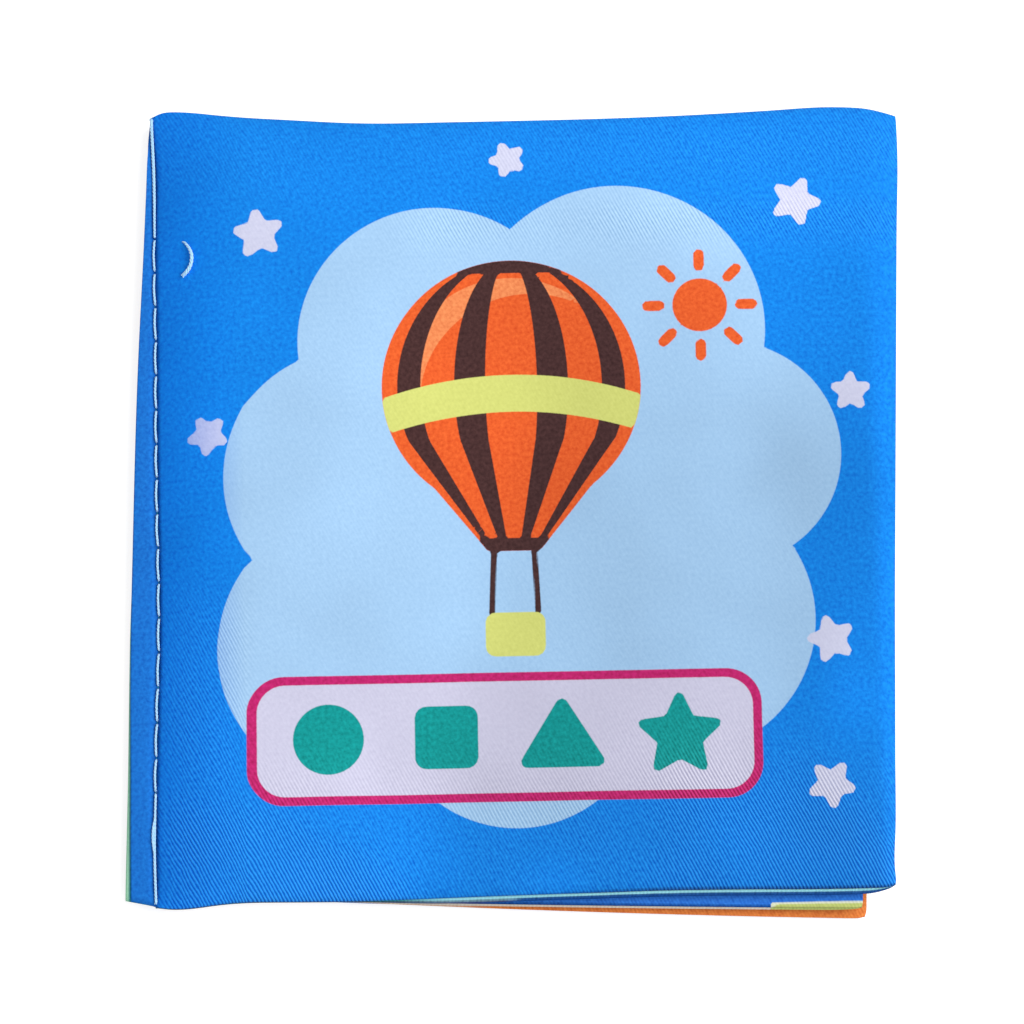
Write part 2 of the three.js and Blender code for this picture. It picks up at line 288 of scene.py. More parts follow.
@dataclass(frozen=True)
class Leaf:
    """One padded leaf: its outline as it lies, and its two faces.

    Attributes:
        name: Name of the leaf in the CAD part.
        level: 0 for the back cover, 1 for the middle leaf, 2 for the front cover.
        head: Head edge over x.
        foot: Foot edge over x.
        fore: Fore edge over y.
        fore_lift: How far the fore edge stands above the level of the spine.
        rim_droop: How far the edge seam hangs below the middle of the leaf.
        corner_radius: Of the foot corner at the fore edge.
        head_corner: Of the head corner there.
        binding: The sewn spine.
        crown: Thickness between the seams.
        dome: How much the middle of the closed book swells over its borders.
        edge_run: From a sewn edge to the full height.
        rise_end: From the stitch row to where the leaf has its full height.
        lip: From the edge seam to the outermost turn of either panel.
        groove: Depth of the valley that the stitch row pulls.
        foot_reach: How far the under panel's lip stands out past the upper one's at the foot.
        fore_reach: The same at the fore edge. Below 0 it stays back.
        corner_press: Distance from both edges within which a corner's cloth is pressed thinner.
        corner_fade: Distance over which it goes to nothing there.
    """

    name: str
    level: int
    head: MeasuredLine
    foot: MeasuredLine
    fore: MeasuredLine
    fore_lift: float
    rim_droop: float
    corner_radius: float
    head_corner: float = 1.2
    binding: Binding = Binding()
    crown: float = 2.4
    dome: float = 0.9
    edge_run: float = 5.0
    rise_end: float = 12.0
    lip: float = 0.36
    groove: float = 0.5
    foot_reach: float = 0.0
    fore_reach: float = 0.0
    corner_press: float = 2.5
    corner_fade: float = 3.5

    def round_up(self, distance: Array) -> Array:
        """A quarter round: 0 at a sewn edge and 1 at edge_run from it."""
        left = 1.0 - np.clip(distance / self.edge_run, 0.0, 1.0)
        return np.sqrt(1.0 - left * left)

    def rise(self, x: Array) -> Array:
        """The swelling from the stitch row: steep beside it, and full at rise_end."""
        return 1.0 - (1.0 - np.clip((x - 0.25) / (self.rise_end - 0.25), 0.0, 1.0)) ** 2.2

    def dome_step(self, across: Array, along: Array) -> Array:
        """How much thicker the leaf is at some shares of its width and height than at its borders."""
        return self.dome / 3 * 16 * across * (1 - across) * along * (1 - along)

    def under(self, across: Array, along: Array) -> Array:
        """Height of the under face at some shares of the leaf's width and height."""
        pitch = self.crown + self.binding.leaf_gap
        return self.level * (pitch + self.dome_step(across, along)) + self.fore_lift * across

    def under_at(self, x: Array, y: Array) -> Array:
        """Height of the under face at some places inside the seams."""
        foot = self.foot(x)
        return self.under(x / self.fore(y), (y - foot) / (self.head(x) - foot))

    def inside(self, steps: int) -> tuple[Array, Array, Array, Array]:
        """Sets out places inside the seams.

        Args:
            steps: Places each way.

        Returns:
            x, y and the shares across and along, each rows by columns.
        """
        run = self.edge_run
        across, along = np.meshgrid(np.linspace(0, 1, steps), np.linspace(0, 1, steps))
        y = mix(self.foot(50.0) + run, self.head(50.0) - run, along)
        x = mix(self.rise_end, self.fore(y) - run, across)
        y = mix(self.foot(x) + run, self.head(x) - run, along)
        return x, y, across, along

    def surface(self, net: "Net", upper: bool, relief: "Relief") -> tuple[Array, Array]:
        """Lays one face of the leaf over a net of stations.

        Args:
            net: Stations of the panel.
            upper: True for the upper face, False for the under one.
            relief: Dents of the padding.

        Returns:
            The points of the face, rows by columns by three, and the flat print places, whose
            third number is how thick the cloth is drawn there.
        """
        middle = 0.5 * (self.foot(48.0) + self.head(48.0))
        column, row = np.meshgrid(np.arange(len(net.columns)), np.arange(len(net.rows)))
        c_base, c_share, c_round, c_lip = net.columns[column].transpose(2, 0, 1)
        r_foot, r_head, r_base, r_round, r_lip = net.rows[row].transpose(2, 0, 1)
        y = r_base + r_foot * self.foot(0.0) + r_head * self.head(0.0)
        for _ in range(3):
            fore = self.fore(y)
            x = c_base + c_share * fore
            foot, head = self.foot(x), self.head(x)
            y = r_base + r_foot * foot + r_head * head
        to_fore, to_head, to_foot = fore - x, head - y, y - foot
        # The turned cloth is pressed thin, most at the corners, so that neither wall comes through the other
        to_end, press = np.minimum(to_head, to_foot), self.corner_press
        corner = np.hypot(np.maximum(0, press - to_fore), np.maximum(0, press - to_end))
        near_corner = (to_fore < press) & (to_end < press)
        inside = np.minimum(to_fore, to_end)
        hem = np.minimum(c_lip, r_lip) * np.clip(0.05 + 0.2 * inside + 0.25 * inside * np.abs(inside), 0, 1)
        hem = hem * np.where(near_corner, np.clip(1 - corner / self.corner_fade, 0.0, 1.0), 1.0)
        # The print runs on past the turn into the seam
        flat_x = np.where(c_round < 0.5, 2 * fore - x, x)
        flat_y = np.where(r_round < 0.5, np.where(y < middle, 2 * foot - y, 2 * head - y), y)
        flat = np.stack([flat_x, flat_y, hem], axis=-1)
        rounds = self.round_up(np.where(c_round < 0.5, 0.0, to_fore))
        tucked = r_round < 0.5
        rounds = rounds * self.round_up(np.where(tucked & (y < middle), 0.0, to_foot))
        rounds = rounds * self.round_up(np.where(tucked & (y > middle), 0.0, to_head))
        across, along = x / fore, (y - foot) / (head - foot)
        level_step = self.level * (self.crown + self.binding.leaf_gap)
        seam = level_step + self.crown / 2 + self.fore_lift * across - self.rim_droop
        half_sewn = self.binding.sewn_leaf / 2
        hinge = self.binding.stack_lift + self.level * self.binding.sewn_pitch + half_sewn
        way = 1.0 if upper else -1.0
        lip = way * np.minimum(c_lip, r_lip)
        full = self.under(across, along) + (self.crown + self.dome_step(across, along) if upper else 0.0)
        rise = self.rise(x)
        z = mix(hinge + half_sewn * lip, mix(seam + self.lip * lip, full, rounds), rise)
        z = z - way * relief.depth(across, along, upper) * rounds * rise
        if upper and self.level == 2:
            z = z - self.binding.valley(x, y, self.groove) * np.minimum(c_lip, r_lip)
        if not upper:
            # The under panel's lip stands out only from a quarter of the foot edge on
            run = smooth_share(x, 24, 40) * smooth_share(to_fore, 0.0, 4.0)
            y = y - self.foot_reach * run * r_lip * np.maximum(0, 1 - to_foot / 2)
            x = x + self.fore_reach * c_lip * np.maximum(0, 1 - to_fore / 2)
        foot_cut, head_cut = (
            radius * (1 - math.sqrt(0.5))
            * np.maximum(0, 1 - to_fore / radius) * np.maximum(0, 1 - to_end / radius)
            for radius, to_end in ((self.corner_radius, to_foot), (self.head_corner, to_head))
        )
        x = x - foot_cut - head_cut + self.binding.row(y) * np.maximum(0.0, 1 - x / 6)
        y = y + foot_cut - head_cut
        return np.stack([x, y, z], axis=-1), flat


class Net:
    """Stations of a panel: a line of them across the leaf and a line along it."""

    def __init__(self, leaf: Leaf, step: float, spine: tuple[float, ...], edge_steps: int) -> None:
        """Lays out the stations.

        Args:
            leaf: Leaf whose panel it is.
            step: Spacing between the seams.
            spine: Stations near the stitch row.
            edge_steps: Stations round each sewn edge.
        """
        run = leaf.edge_run
        turn = [run * (1 - math.cos(i / edge_steps * math.pi / 2)) for i in range(edge_steps + 1)]
        tuck = [(0.12, 0.5), (0.3, 0.0)]
        wide = round((LEAF_WIDE - leaf.rise_end - run) / step)
        shares = [i / wide for i in range(1, wide)]
        # A column is a distance, a share of the fore edge's x, whether the face is full there, and its lip
        columns = [(x, 0.0, 1.0, 1.0) for x in (*spine, leaf.rise_end)]
        columns += [(leaf.rise_end * (1 - s) - run * s, s, 1.0, 1.0) for s in shares]
        columns += [(-d, 1.0, 1.0, 1.0) for d in reversed(turn)]
        columns += [(-d, 1.0, 0.0, lip) for d, lip in tuck]
        tall = round((SPINE_LONG - 2 * run) / step)
        shares = [i / tall for i in range(1, tall)]
        # A row is a share of the foot, one of the head, a distance, whether the face is full, and its lip
        rows = [(1.0, 0.0, d, 0.0, lip) for d, lip in reversed(tuck)]
        rows += [(1.0, 0.0, d, 1.0, 1.0) for d in turn]
        rows += [(1 - s, s, run * (1 - 2 * s), 1.0, 1.0) for s in shares]
        rows += [(0.0, 1.0, -d, 1.0, 1.0) for d in reversed(turn)]
        rows += [(0.0, 1.0, -d, 0.0, lip) for d, lip in tuck]
        self.columns = np.array(columns)
        self.rows = np.array(rows)


@dataclass(frozen=True)
class PaddingCloth:
    """Cloth simulation of a leaf: a closed bag of two panels, sewn all round and blown up.

    The panels are a little wider than the sewn frame, as the seams gather them, so they pucker
    at the seams and buckle softly between them.

    Attributes:
        wide: Width of the bag.
        tall: Its height.
        seam: From a seam to the full height.
        enlarged: Times that the bag is simulated larger than it is.
        pressure: Of the filling.
        spare: Share that the cloth grows near the seams.
        bending: Stiffness of the cloth.
        frames: Length of the simulation.
        columns: Points across.
        rows: Points along.
    """

    wide: float = 96.0
    tall: float = 104.0
    seam: float = 5.0
    enlarged: float = 10.0
    pressure: float = 0.3
    spare: float = 0.012
    bending: float = 2.0
    frames: int = 20
    columns: int = 49
    rows: int = 53

    def bag(self, seed: float) -> tuple[bpy.types.Object, Array]:
        """Makes the bag before it is blown up.

        Args:
            seed: Start of the uneven filling.

        Returns:
            The bag, and where its points lie across, along and up, in millimetres.
        """

        def place(side: float, across: float, along: float) -> Vector:
            """Place of a point, on an uneven filling."""
            x, y = across * self.wide, along * self.tall
            seam = min(self.wide - x, y, self.tall - y, self.seam) / self.seam
            swell = math.sqrt(max(0.0, 1 - (1 - seam) ** 2)) * (1 - max(0.0, 1 - x / 12.0) ** 2.2)
            uneven = noise.noise(Vector((x / 9, y / 9, seed + side))) * min(1.0, swell)
            return Vector((x, y, side * 1.2 * swell + 0.3 * uneven)) * MM * self.enlarged

        bag = closed_pad("padding_trial", (self.columns - 1, self.rows - 1), place, False)
        return bag, self.read(bag)

    def read(self, bag: bpy.types.Object) -> Array:
        """Reads where a bag's points lie, in millimetres."""
        places = np.zeros(len(bag.data.vertices) * 3)
        bag.data.vertices.foreach_get("co", places)
        return places.reshape(-1, 3) / (MM * self.enlarged)

    def blow_up(self, seed: float) -> tuple[Array, Array]:
        """Simulates the bag.

        Args:
            seed: Start of the uneven filling.

        Returns:
            How far the upper and the under panel moved out, in millimetres, rows by columns.
        """
        bag, start = self.bag(seed)
        x, y = start[:, 0], start[:, 1]
        to_seam = np.minimum(np.minimum(x, self.wide - x), np.minimum(y, self.tall - y))
        sewn = bag.vertex_groups.new(name="sewn")
        sewn.add([int(i) for i in np.nonzero((to_seam < 0.5) | (x < 1.5))[0]], 1.0, "REPLACE")
        gathered = bag.vertex_groups.new(name="gathered")
        for index, distance in enumerate(to_seam):
            gathered.add([index], math.exp(-((distance / 14.0) ** 2)), "REPLACE")
        cloth = bag.modifiers.new("panels", "CLOTH")
        for key, value in {
            "quality": 6, "mass": 0.3, "air_damping": 2.0,
            "tension_stiffness": 15, "compression_stiffness": 15,
            "bending_stiffness": self.bending, "vertex_group_mass": sewn.name, "use_pressure": True,
            "uniform_pressure_force": self.pressure, "vertex_group_shrink": gathered.name,
            "shrink_min": -self.spare * 0.4, "shrink_max": -self.spare,
        }.items():
            setattr(cloth.settings, key, value)
        cloth.settings.effector_weights.gravity = 0
        cloth.collision_settings.use_collision = False
        cloth.collision_settings.use_self_collision = False
        cloth.point_cache.frame_start, cloth.point_cache.frame_end = 1, self.frames
        for step in range(1, self.frames + 1):
            bpy.context.scene.frame_set(step)
        settle(bag)
        moved = self.read(bag)[:, 2] - start[:, 2]
        bpy.data.objects.remove(bag)
        bpy.context.scene.frame_set(1)
        column = np.rint(x / self.wide * (self.columns - 1)).astype(int)
        row = np.rint(y / self.tall * (self.rows - 1)).astype(int)
        panels = np.zeros((2, self.rows, self.columns))
        for side, chosen in ((0, start[:, 2] > 1e-4), (1, start[:, 2] < -1e-4)):
            panels[side, row[chosen], column[chosen]] = moved[chosen] * (1 - 2 * side)
        return panels[0], panels[1]


@functools.cache
def blown_up(seed: float) -> tuple[Array, Array]:
    """Runs the simulation of one leaf once, with its slow swelling taken out.

    Args:
        seed: Of the leaf.

    Returns:
        Heights of the upper and the under panel over their own slow swelling, in millimetres.
    """
    panels = []
    for moved in PaddingCloth().blow_up(seed):
        soft = spread(moved, 1)
        panels.append(soft - spread(soft, 14))
        log.info("padding simulated: folds within %.2f mm", float(np.abs(panels[-1]).max()))
    return panels[0], panels[1]


def spread(heights: Array, times: int) -> Array:
    """Evens out heights over their neighbours a number of times."""
    for _ in range(times):
        wide = np.pad(heights, 1, mode="edge")
        heights = wide[1:-1, 1:-1] * 2 + wide[:-2, 1:-1] + wide[2:, 1:-1] + wide[1:-1, :-2] + wide[1:-1, 2:]
        heights = heights / 6
    return heights


@dataclass(frozen=True)
class Relief:
    """Dents of a padded leaf under its full height.

    Attributes:
        seed: Start of the simulation, another one for each leaf.
        folds: Share of the simulated folds that is kept: the sponge holds the panels flat.
        cap: Greatest depth of a dent.
        swell: Depth of the slow hollows.
        hollow: Rough size of one of them, across and along.
        under_seed: Added to the seed for the under face's hollows.
    """

    seed: float
    folds: float = 0.5
    cap: float = 0.34
    swell: float = 0.2
    hollow: tuple[float, float] = (26.0, 22.0)
    under_seed: float = 7.3

    def depth(self, across: Array, along: Array, upper: bool) -> Array:
        """How far the face lies under its full height.

        Args:
            across: Shares of the leaf's width.
            along: Shares of its height.
            upper: True for the upper face.

        Returns:
            Depths in millimetres, from 0 to cap.
        """
        seed = self.seed + (0.0 if upper else self.under_seed)
        wide, tall = self.hollow
        places = zip(across.ravel() * PaddingCloth.wide, along.ravel() * PaddingCloth.tall)
        slow = [noise.noise(Vector((a / wide, b / tall, seed))) for a, b in places]
        hollow = self.swell * (0.5 + np.array(slow).reshape(across.shape))
        heights = blown_up(self.seed)[0 if upper else 1]
        rows, columns = heights.shape
        c = np.clip(across, 0, 1) * (columns - 1)
        r = np.clip(along, 0, 1) * (rows - 1)
        c0, r0 = np.minimum(c.astype(int), columns - 2), np.minimum(r.astype(int), rows - 2)
        near = mix(heights[r0, c0], heights[r0, c0 + 1], c - c0)
        far = mix(heights[r0 + 1, c0], heights[r0 + 1, c0 + 1], c - c0)
        return np.clip(hollow + 0.08 - self.folds * mix(near, far, r - r0), 0.0, self.cap)


# The shapes of a print are signed distances in millimetres, below 0 inside


def disc(x: float, y: float, radius: float) -> Shape:
    """A disc of the print at x, y."""
    return lambda u, v: np.hypot(u - x, v - y) - radius


def label(x: float, y: float, wide: float, high: float, radius: float) -> Shape:
    """A rounded rectangle.

    Args:
        x: Middle across.
        y: Middle along.
        wide: Width.
        high: Height.
        radius: Of its corners.

    Returns:
        The shape.
    """

    def distance(u: Array, v: Array) -> Array:
        """Distance from the rectangle's edge."""
        a = np.abs(u - x) - wide / 2 + radius
        b = np.abs(v - y) - high / 2 + radius
        outside = np.hypot(np.maximum(a, 0), np.maximum(b, 0))
        return outside + np.minimum(np.maximum(a, b), 0) - radius

    return distance


def to_line(u: Array, v: Array, start: tuple[float, float], end: tuple[float, float]) -> Array:
    """Distance of places from the straight line between two points."""
    ex, ey, wx, wy = end[0] - start[0], end[1] - start[1], u - start[0], v - start[1]
    share = np.clip((wx * ex + wy * ey) / (ex * ex + ey * ey), 0, 1)
    return np.hypot(wx - ex * share, wy - ey * share)


def outline(points: list[tuple[float, float]], radius: float = 0.0) -> Shape:
    """A closed shape with straight sides and rounded corners.

    Args:
        points: Its corners.
        radius: How far it's swollen, which rounds its outer corners.

    Returns:
        The shape.
    """

    def distance(u: Array, v: Array) -> Array:
        """Distance from the shape's edge."""
        nearest = np.full(u.shape, 1e9)
        inside = np.ones(u.shape)
        for (ax, ay), (bx, by) in zip(points, points[1:] + points[:1]):
            nearest = np.minimum(nearest, to_line(u, v, (ax, ay), (bx, by)))
            above, below = v >= ay, v < by
            left = (bx - ax) * (v - ay) > (by - ay) * (u - ax)
            crossing = (above & below & left) | (~above & ~below & ~left)
            inside = np.where(crossing, -inside, inside)
        return nearest * inside - radius

    return distance


def bar(ax: float, ay: float, bx: float, by: float, width: float) -> Shape:
    """A stroke with round ends from one point to another."""
    return lambda u, v: to_line(u, v, (ax, ay), (bx, by)) - width / 2


def star(x: float, y: float, size: float, turn: float) -> Shape:
    """A soft star with five tips.

    Args:
        x: Middle across.
        y: Middle along.
        size: From its middle to its tips.
        turn: Turn of its first tip from straight up, in degrees.

    Returns:
        The shape.
    """
    tips, waist, radius = 5, 0.54, 0.6
    corners = []
    for i in range(2 * tips):
        reach = (size if i % 2 == 0 else size * waist) - radius
        angle = math.radians(90 + turn) + math.pi * i / tips
        corners.append((x + reach * math.cos(angle), y + reach * math.sin(angle)))
    return outline(corners, radius)


def union(*shapes: Shape) -> Shape:
    """All of several shapes in one."""
    return lambda u, v: np.minimum.reduce([shape(u, v) for shape in shapes])


def both(*shapes: Shape) -> Shape:
    """What several shapes have in common."""
    return lambda u, v: np.maximum.reduce([shape(u, v) for shape in shapes])


class Dye(Enum):
    """Colours of the prints and the bare threads, and of the painted shade, shadow and light laid over the
    prints.
    """

    ROYAL_BLUE = "#1587f2"
    # Painted shade: a deeper blue for the cloth in the fold by the spine
    FOLD_SHADE_BLUE = "#0c80ff"
    # Painted shade and shadow: dark navy for the groove by the stitch row and for turned edges in shade
    PAINTED_SHADE_NAVY = "#083f86"
    # Painted shade: a darker, greyer copy of the cover's blue for the spine strips
    SHADED_SPINE_BLUE = "#207be4"
    PALE_BLUE = "#a9d2fa"
    LAVENDER = "#d8daf6"
    LABEL_LILAC = "#d4d2ec"
    ORANGE = "#f2622a"
    LIGHT_ORANGE = "#f98e56"
    # Print colour, also used as painted shadow on two turned foot edges
    DARK_BROWN = "#4a2f2c"
    LIME = "#dbe07a"
    TILE_LIME = "#c6d276"
    TILE_PALE = "#ecf2d0"
    MAGENTA = "#c9286f"
    TEAL = "#159a97"
    # Print colour; on the spine strip it also stands for the strip in shade under the cover's outer panel
    SEA_GREEN = "#2a969c"
    # Painted light: pale green for the lit edge of the sea-green spine strip
    LIT_EDGE_GREEN = "#aef0c8"
    AQUA = "#a6f4ff"
    INDIGO = "#3480ee"
    PAGE_BLUE = "#1250a6"
    PAGE_ORANGE = "#f48842"
    PAGE_PALE = "#f0e4d2"


@dataclass(frozen=True)
class Ink:
    """One colour of a print, or a painted shade, shadow or light laid over the print in the same way.

    Attributes:
        name: Name of the mesh attribute that holds its shape.
        dye: Its colour.
        shape: Where it lies.
        soft: Width of its edge: 0.14 for screen ink on twill, more for a blend.
        strength: How far it covers what lies under it.
    """

    name: str
    dye: Dye
    shape: Shape
    soft: float = 0.14
    strength: float = 1.0


@dataclass(frozen=True)
class PrintedCloth:
    """Disperse-dyed polyester twill, printed before it was cut.

    The eye gets steep light ridges 0.48 mm apart, each broken into short floats, on a slightly
    glossy ground that goes dull and grainy where the light is flat. The ridges' tops carry painted
    highlight and their gaps painted shade. A piece's attribute show says how strongly the ridges
    show at a point, and a second attribute holds painted shade: the share of the colour kept there.

    Attributes:
        name: Name of the material.
        ground: Ground colour.
        inks: Inks over it, the lowest first.
        ridge_pitch: From one twill ridge to the next, along a row of weft.
        ridge_slope: Turn of the ridges from the weft, in degrees.
        ridge_height: Of the bump.
        waver: How often the ridges stray from straight, for each millimetre.
        patch: How often they grow fainter and stronger.
        grain: How often the fibres' grain changes.
        cloud: How often the dye is a little lighter and darker.
    """

    name: str
    ground: Dye
    inks: tuple[Ink, ...] = ()
    ridge_pitch: float = 0.48
    ridge_slope: float = 118.0
    ridge_height: float = 0.05
    waver: float = 0.16
    patch: float = 0.06
    grain: float = 2.0
    cloud: float = 0.045

    def material(self) -> bpy.types.Material:
        """Builds the material.

        Returns:
            The material, which reads the attributes flat and show, the attribute of painted shade, and one
            for each ink.
        """
        wires = Wiring(bpy.data.materials.new(self.name))
        flat = wires.add("Attribute", out="Vector", attribute_name="flat")
        show = wires.add("Attribute", out="Fac", attribute_name="show")
        painted_shading = wires.add("Attribute", out="Fac", attribute_name="painted_shading")
        colour = self.printed(wires)
        strong, ridges = self.twill(wires, flat, show)
        grain = wires.add("TexNoise", {"Vector": flat, "Scale": self.grain, "Detail": 3.0})
        # Pale inks hide the grain: the green of the colour tells them from the deep ones
        pale = wires.add("SeparateColor", {0: colour}, "Green")
        sizes = {"Value": pale, "From Min": 0.3, "From Max": 0.6, "To Min": 1.0, "To Max": 0.35}
        grain = wires.add("Mix", {0: wires.add("MapRange", sizes), 2: 0.5, 3: grain})
        speckle = wires.add("Math", {0: grain, 1: 2.6, 2: -1.3}, operation="MULTIPLY_ADD")
        light = wires.add("Math", {0: ridges, 1: speckle}, operation="ADD")
        light = wires.add("MapRange", {"Value": light, "From Min": -1.0, "From Max": 1.0})

        # Painted highlight and shade of the weave: thread tops are drawn paler, with a little white mixed in
        # as painted sheen, and the gaps between them deeper in the same hue
        slope = {0: colour, 1: (-0.4,) * 3, 2: (1.4,) * 3}
        tops = wires.add("VectorMath", slope, operation="MULTIPLY_ADD")
        tops = wires.add("VectorMath", {0: colour, 1: tops}, operation="MULTIPLY")
        painted_sheen = wires.add("Math", {0: strong, 1: 0.012}, operation="MULTIPLY")
        tops = wires.add("Mix", {0: painted_sheen, 6: tops, 7: linear("#ffffff")}, 2, data_type="RGBA")
        slope = {0: colour, 1: (0.25,) * 3, 2: (0.45,) * 3}
        gaps = wires.add("VectorMath", slope, operation="MULTIPLY_ADD")
        gaps = wires.add("VectorMath", {0: colour, 1: gaps}, operation="MULTIPLY")
        woven = wires.add("Mix", {0: light, 6: gaps, 7: tops}, 2, data_type="RGBA")
        cloudy = wires.add("TexNoise", {"Vector": flat, "Scale": self.cloud})
        sizes = {"Value": cloudy, "From Min": 0.3, "From Max": 0.7, "To Min": 0.93, "To Max": 1.06}
        cloudy = wires.add("MapRange", sizes)
        # Painted shade: the colour is scaled down by the share that the piece's painted-shade attribute keeps
        cloudy = wires.add("Math", {0: cloudy, 1: painted_shading}, operation="MULTIPLY")
        final = wires.add("VectorMath", {0: woven, "Scale": cloudy}, operation="SCALE")
        height = wires.add("Math", {0: ridges, 1: 0.5, 2: grain}, operation="MULTIPLY_ADD")
        bump = {"Height": height, "Strength": 0.7, "Distance": self.ridge_height * MM}
        bump = wires.add("Bump", bump)
        rough = wires.add("MapRange", {"Value": light, "To Min": 0.78, "To Max": 0.56})
        return wires.finish({
            "Base Color": final, "Roughness": rough, "Normal": bump, "IOR": 1.5,
            "Specular IOR Level": 0.1, "Specular Tint": linear("#9fc4ff"), "Sheen Weight": 0.02,
            "Sheen Roughness": 0.4,
        })

    def printed(self, wires: "Wiring") -> bpy.types.NodeSocket:
        """Lays the inks over the ground.

        Args:
            wires: The material.

        Returns:
            Its colour before the weave.
        """
        colour = wires.add("RGB")
        colour.default_value = linear(self.ground.value)
        for ink in self.inks:
            edge = wires.add("Attribute", out="Fac", attribute_name=ink.name)
            half = ink.soft / 2
            sizes = {"Value": edge, "From Min": half, "From Max": -half, "To Max": ink.strength}
            layers = {0: wires.add("MapRange", sizes), 6: colour, 7: linear(ink.dye.value)}
            colour = wires.add("Mix", layers, 2, data_type="RGBA")
        return colour

    def twill(
        self, wires: "Wiring", flat: bpy.types.NodeSocket, show: bpy.types.NodeSocket
    ) -> tuple[bpy.types.NodeSocket, bpy.types.NodeSocket]:
        """Draws the ridges, in a frame that is turned to run along them.

        Args:
            wires: The material.
            flat: Places on the flat cloth.
            show: How strongly the ridges show there.

        Returns:
            How strongly the ridges show with their patches, and their wave.
        """
        slope = math.radians(self.ridge_slope)
        turned = wires.add("Mapping", {"Vector": flat, "Rotation": (0, 0, -slope), "Scale": (1, 1, 0)})
        across = wires.add("SeparateXYZ", {0: turned}, "Y")
        waver = wires.add("TexNoise", {"Vector": flat, "Scale": self.waver})
        waver = wires.add("Math", {0: waver, 1: 5.0}, operation="MULTIPLY")
        turns = 2 * math.pi / (self.ridge_pitch * math.sin(slope))
        phase = wires.add("Math", {0: across, 1: turns, 2: waver}, operation="MULTIPLY_ADD")
        wave = wires.add("Math", {0: phase}, operation="SINE")
        floats = wires.add("Mapping", {"Vector": turned, "Scale": (0.8, 2.2, 1.0)})
        floats = wires.add("TexNoise", {"Vector": floats, "Scale": 1.0, "Detail": 1.0})
        floats = wires.add("Math", {0: floats, 1: 1.2, 2: 0.4}, operation="MULTIPLY_ADD")
        patch = wires.add("TexNoise", {"Vector": flat, "Scale": self.patch, "Detail": 1.0})
        patch = wires.add("MapRange", {"Value": patch, "From Min": 0.38, "From Max": 0.6, "To Min": 0.6})
        strong = wires.add("Math", {0: show, 1: patch}, operation="MULTIPLY")
        ridges = wires.add("Math", {0: wave, 1: strong}, operation="MULTIPLY")
        return strong, wires.add("Math", {0: ridges, 1: floats}, operation="MULTIPLY")


@dataclass(frozen=True)
class SewingThread:
    """Spun polyester sewing thread of three plies, white; its pale blue tint is a painted reflection of the
    blue cloth round it.

    The eye gets a soft, slightly hairy white with pale blue between the plies.

    Attributes:
        name: Name of the material.
        fibre: Thickness of the fibres that it shows, drawn three times as coarse as they are.
    """

    name: str = "spun_polyester_thread"
    fibre: float = 0.05

    def material(self) -> bpy.types.Material:
        """Builds the material.

        Returns:
            The material, on Object coordinates with its fibres along y.
        """
        wires = Wiring(bpy.data.materials.new(self.name))
        place = wires.add("TexCoord", out="Object")
        drawn = wires.add("Mapping", {"Vector": place, "Scale": (1 / MM, 0.3 / MM, 1 / MM)})
        fibres = wires.add("TexNoise", {"Vector": drawn, "Scale": 0.5 / self.fibre, "Detail": 3.0})
        # Painted reflection: the fibres run from pale blue to bluish white, standing in for the blue cloth's
        # light on white thread
        colours = {0: fibres, 6: linear("#8fcbfd"), 7: linear("#d0f2ff")}
        tint = wires.add("Mix", colours, 2, data_type="RGBA")
        bump = wires.add("Bump", {"Height": fibres, "Strength": 0.6, "Distance": 0.03 * MM})
        return wires.finish({"Base Color": tint, "Roughness": 0.72, "Normal": bump, "IOR": 1.5,
                             "Sheen Weight": 0.3, "Sheen Roughness": 0.5})


@dataclass(frozen=True)
class CrinkleFilm:
    """Thin clear polypropylene film, crumpled.

    The eye gets a milky, shiny sheet with sharp creases.

    Attributes:
        name: Name of the material.
        crease: Spacing of its creases.
    """

    name: str = "crumpled_polypropylene_film"
    crease: float = 6.0

    def material(self) -> bpy.types.Material:
        """Builds the material.

        Returns:
            The material, on the attribute flat.
        """
        wires = Wiring(bpy.data.materials.new(self.name))
        flat = wires.add("Attribute", out="Vector", attribute_name="flat")
        sizes = {"Vector": flat, "Scale": 1 / self.crease}
        cells = wires.add("TexVoronoi", sizes, feature="DISTANCE_TO_EDGE")
        haze = wires.add("TexNoise", {"Vector": flat, "Scale": 0.4, "Detail": 3.0})
        colours = {0: haze, 6: linear("#cfd6da"), 7: linear("#eef1f2")}
        tint = wires.add("Mix", colours, 2, data_type="RGBA")
        bump = wires.add("Bump", {"Height": cells, "Strength": 0.5, "Distance": 0.3 * MM})
        return wires.finish({"Base Color": tint, "Roughness": 0.22, "Normal": bump, "IOR": 1.49,
                             "Alpha": 0.55})


@dataclass(frozen=True)
class SpongeFoam:
    """Thin polyester-bonded polyurethane sponge sheet.

    The eye gets a matt off-white with fine open cells.

    Attributes:
        name: Name of the material.
        cell: Size of its cells.
    """

    name: str = "polyurethane_sponge"
    cell: float = 0.5

    def material(self) -> bpy.types.Material:
        """Builds the material.

        Returns:
            The material, on Object coordinates.
        """
        wires = Wiring(bpy.data.materials.new(self.name))
        place = wires.add("TexCoord", out="Object")
        cells = wires.add("TexVoronoi", {"Vector": place, "Scale": 1 / (self.cell * MM)})
        colours = {0: cells, 6: linear("#f3efe4"), 7: linear("#cfc8b8")}
        tint = wires.add("Mix", colours, 2, data_type="RGBA")
        bump = wires.add("Bump", {"Height": cells, "Strength": 0.8, "Distance": 0.2 * MM})
        return wires.finish({"Base Color": tint, "Roughness": 0.95, "Normal": bump})


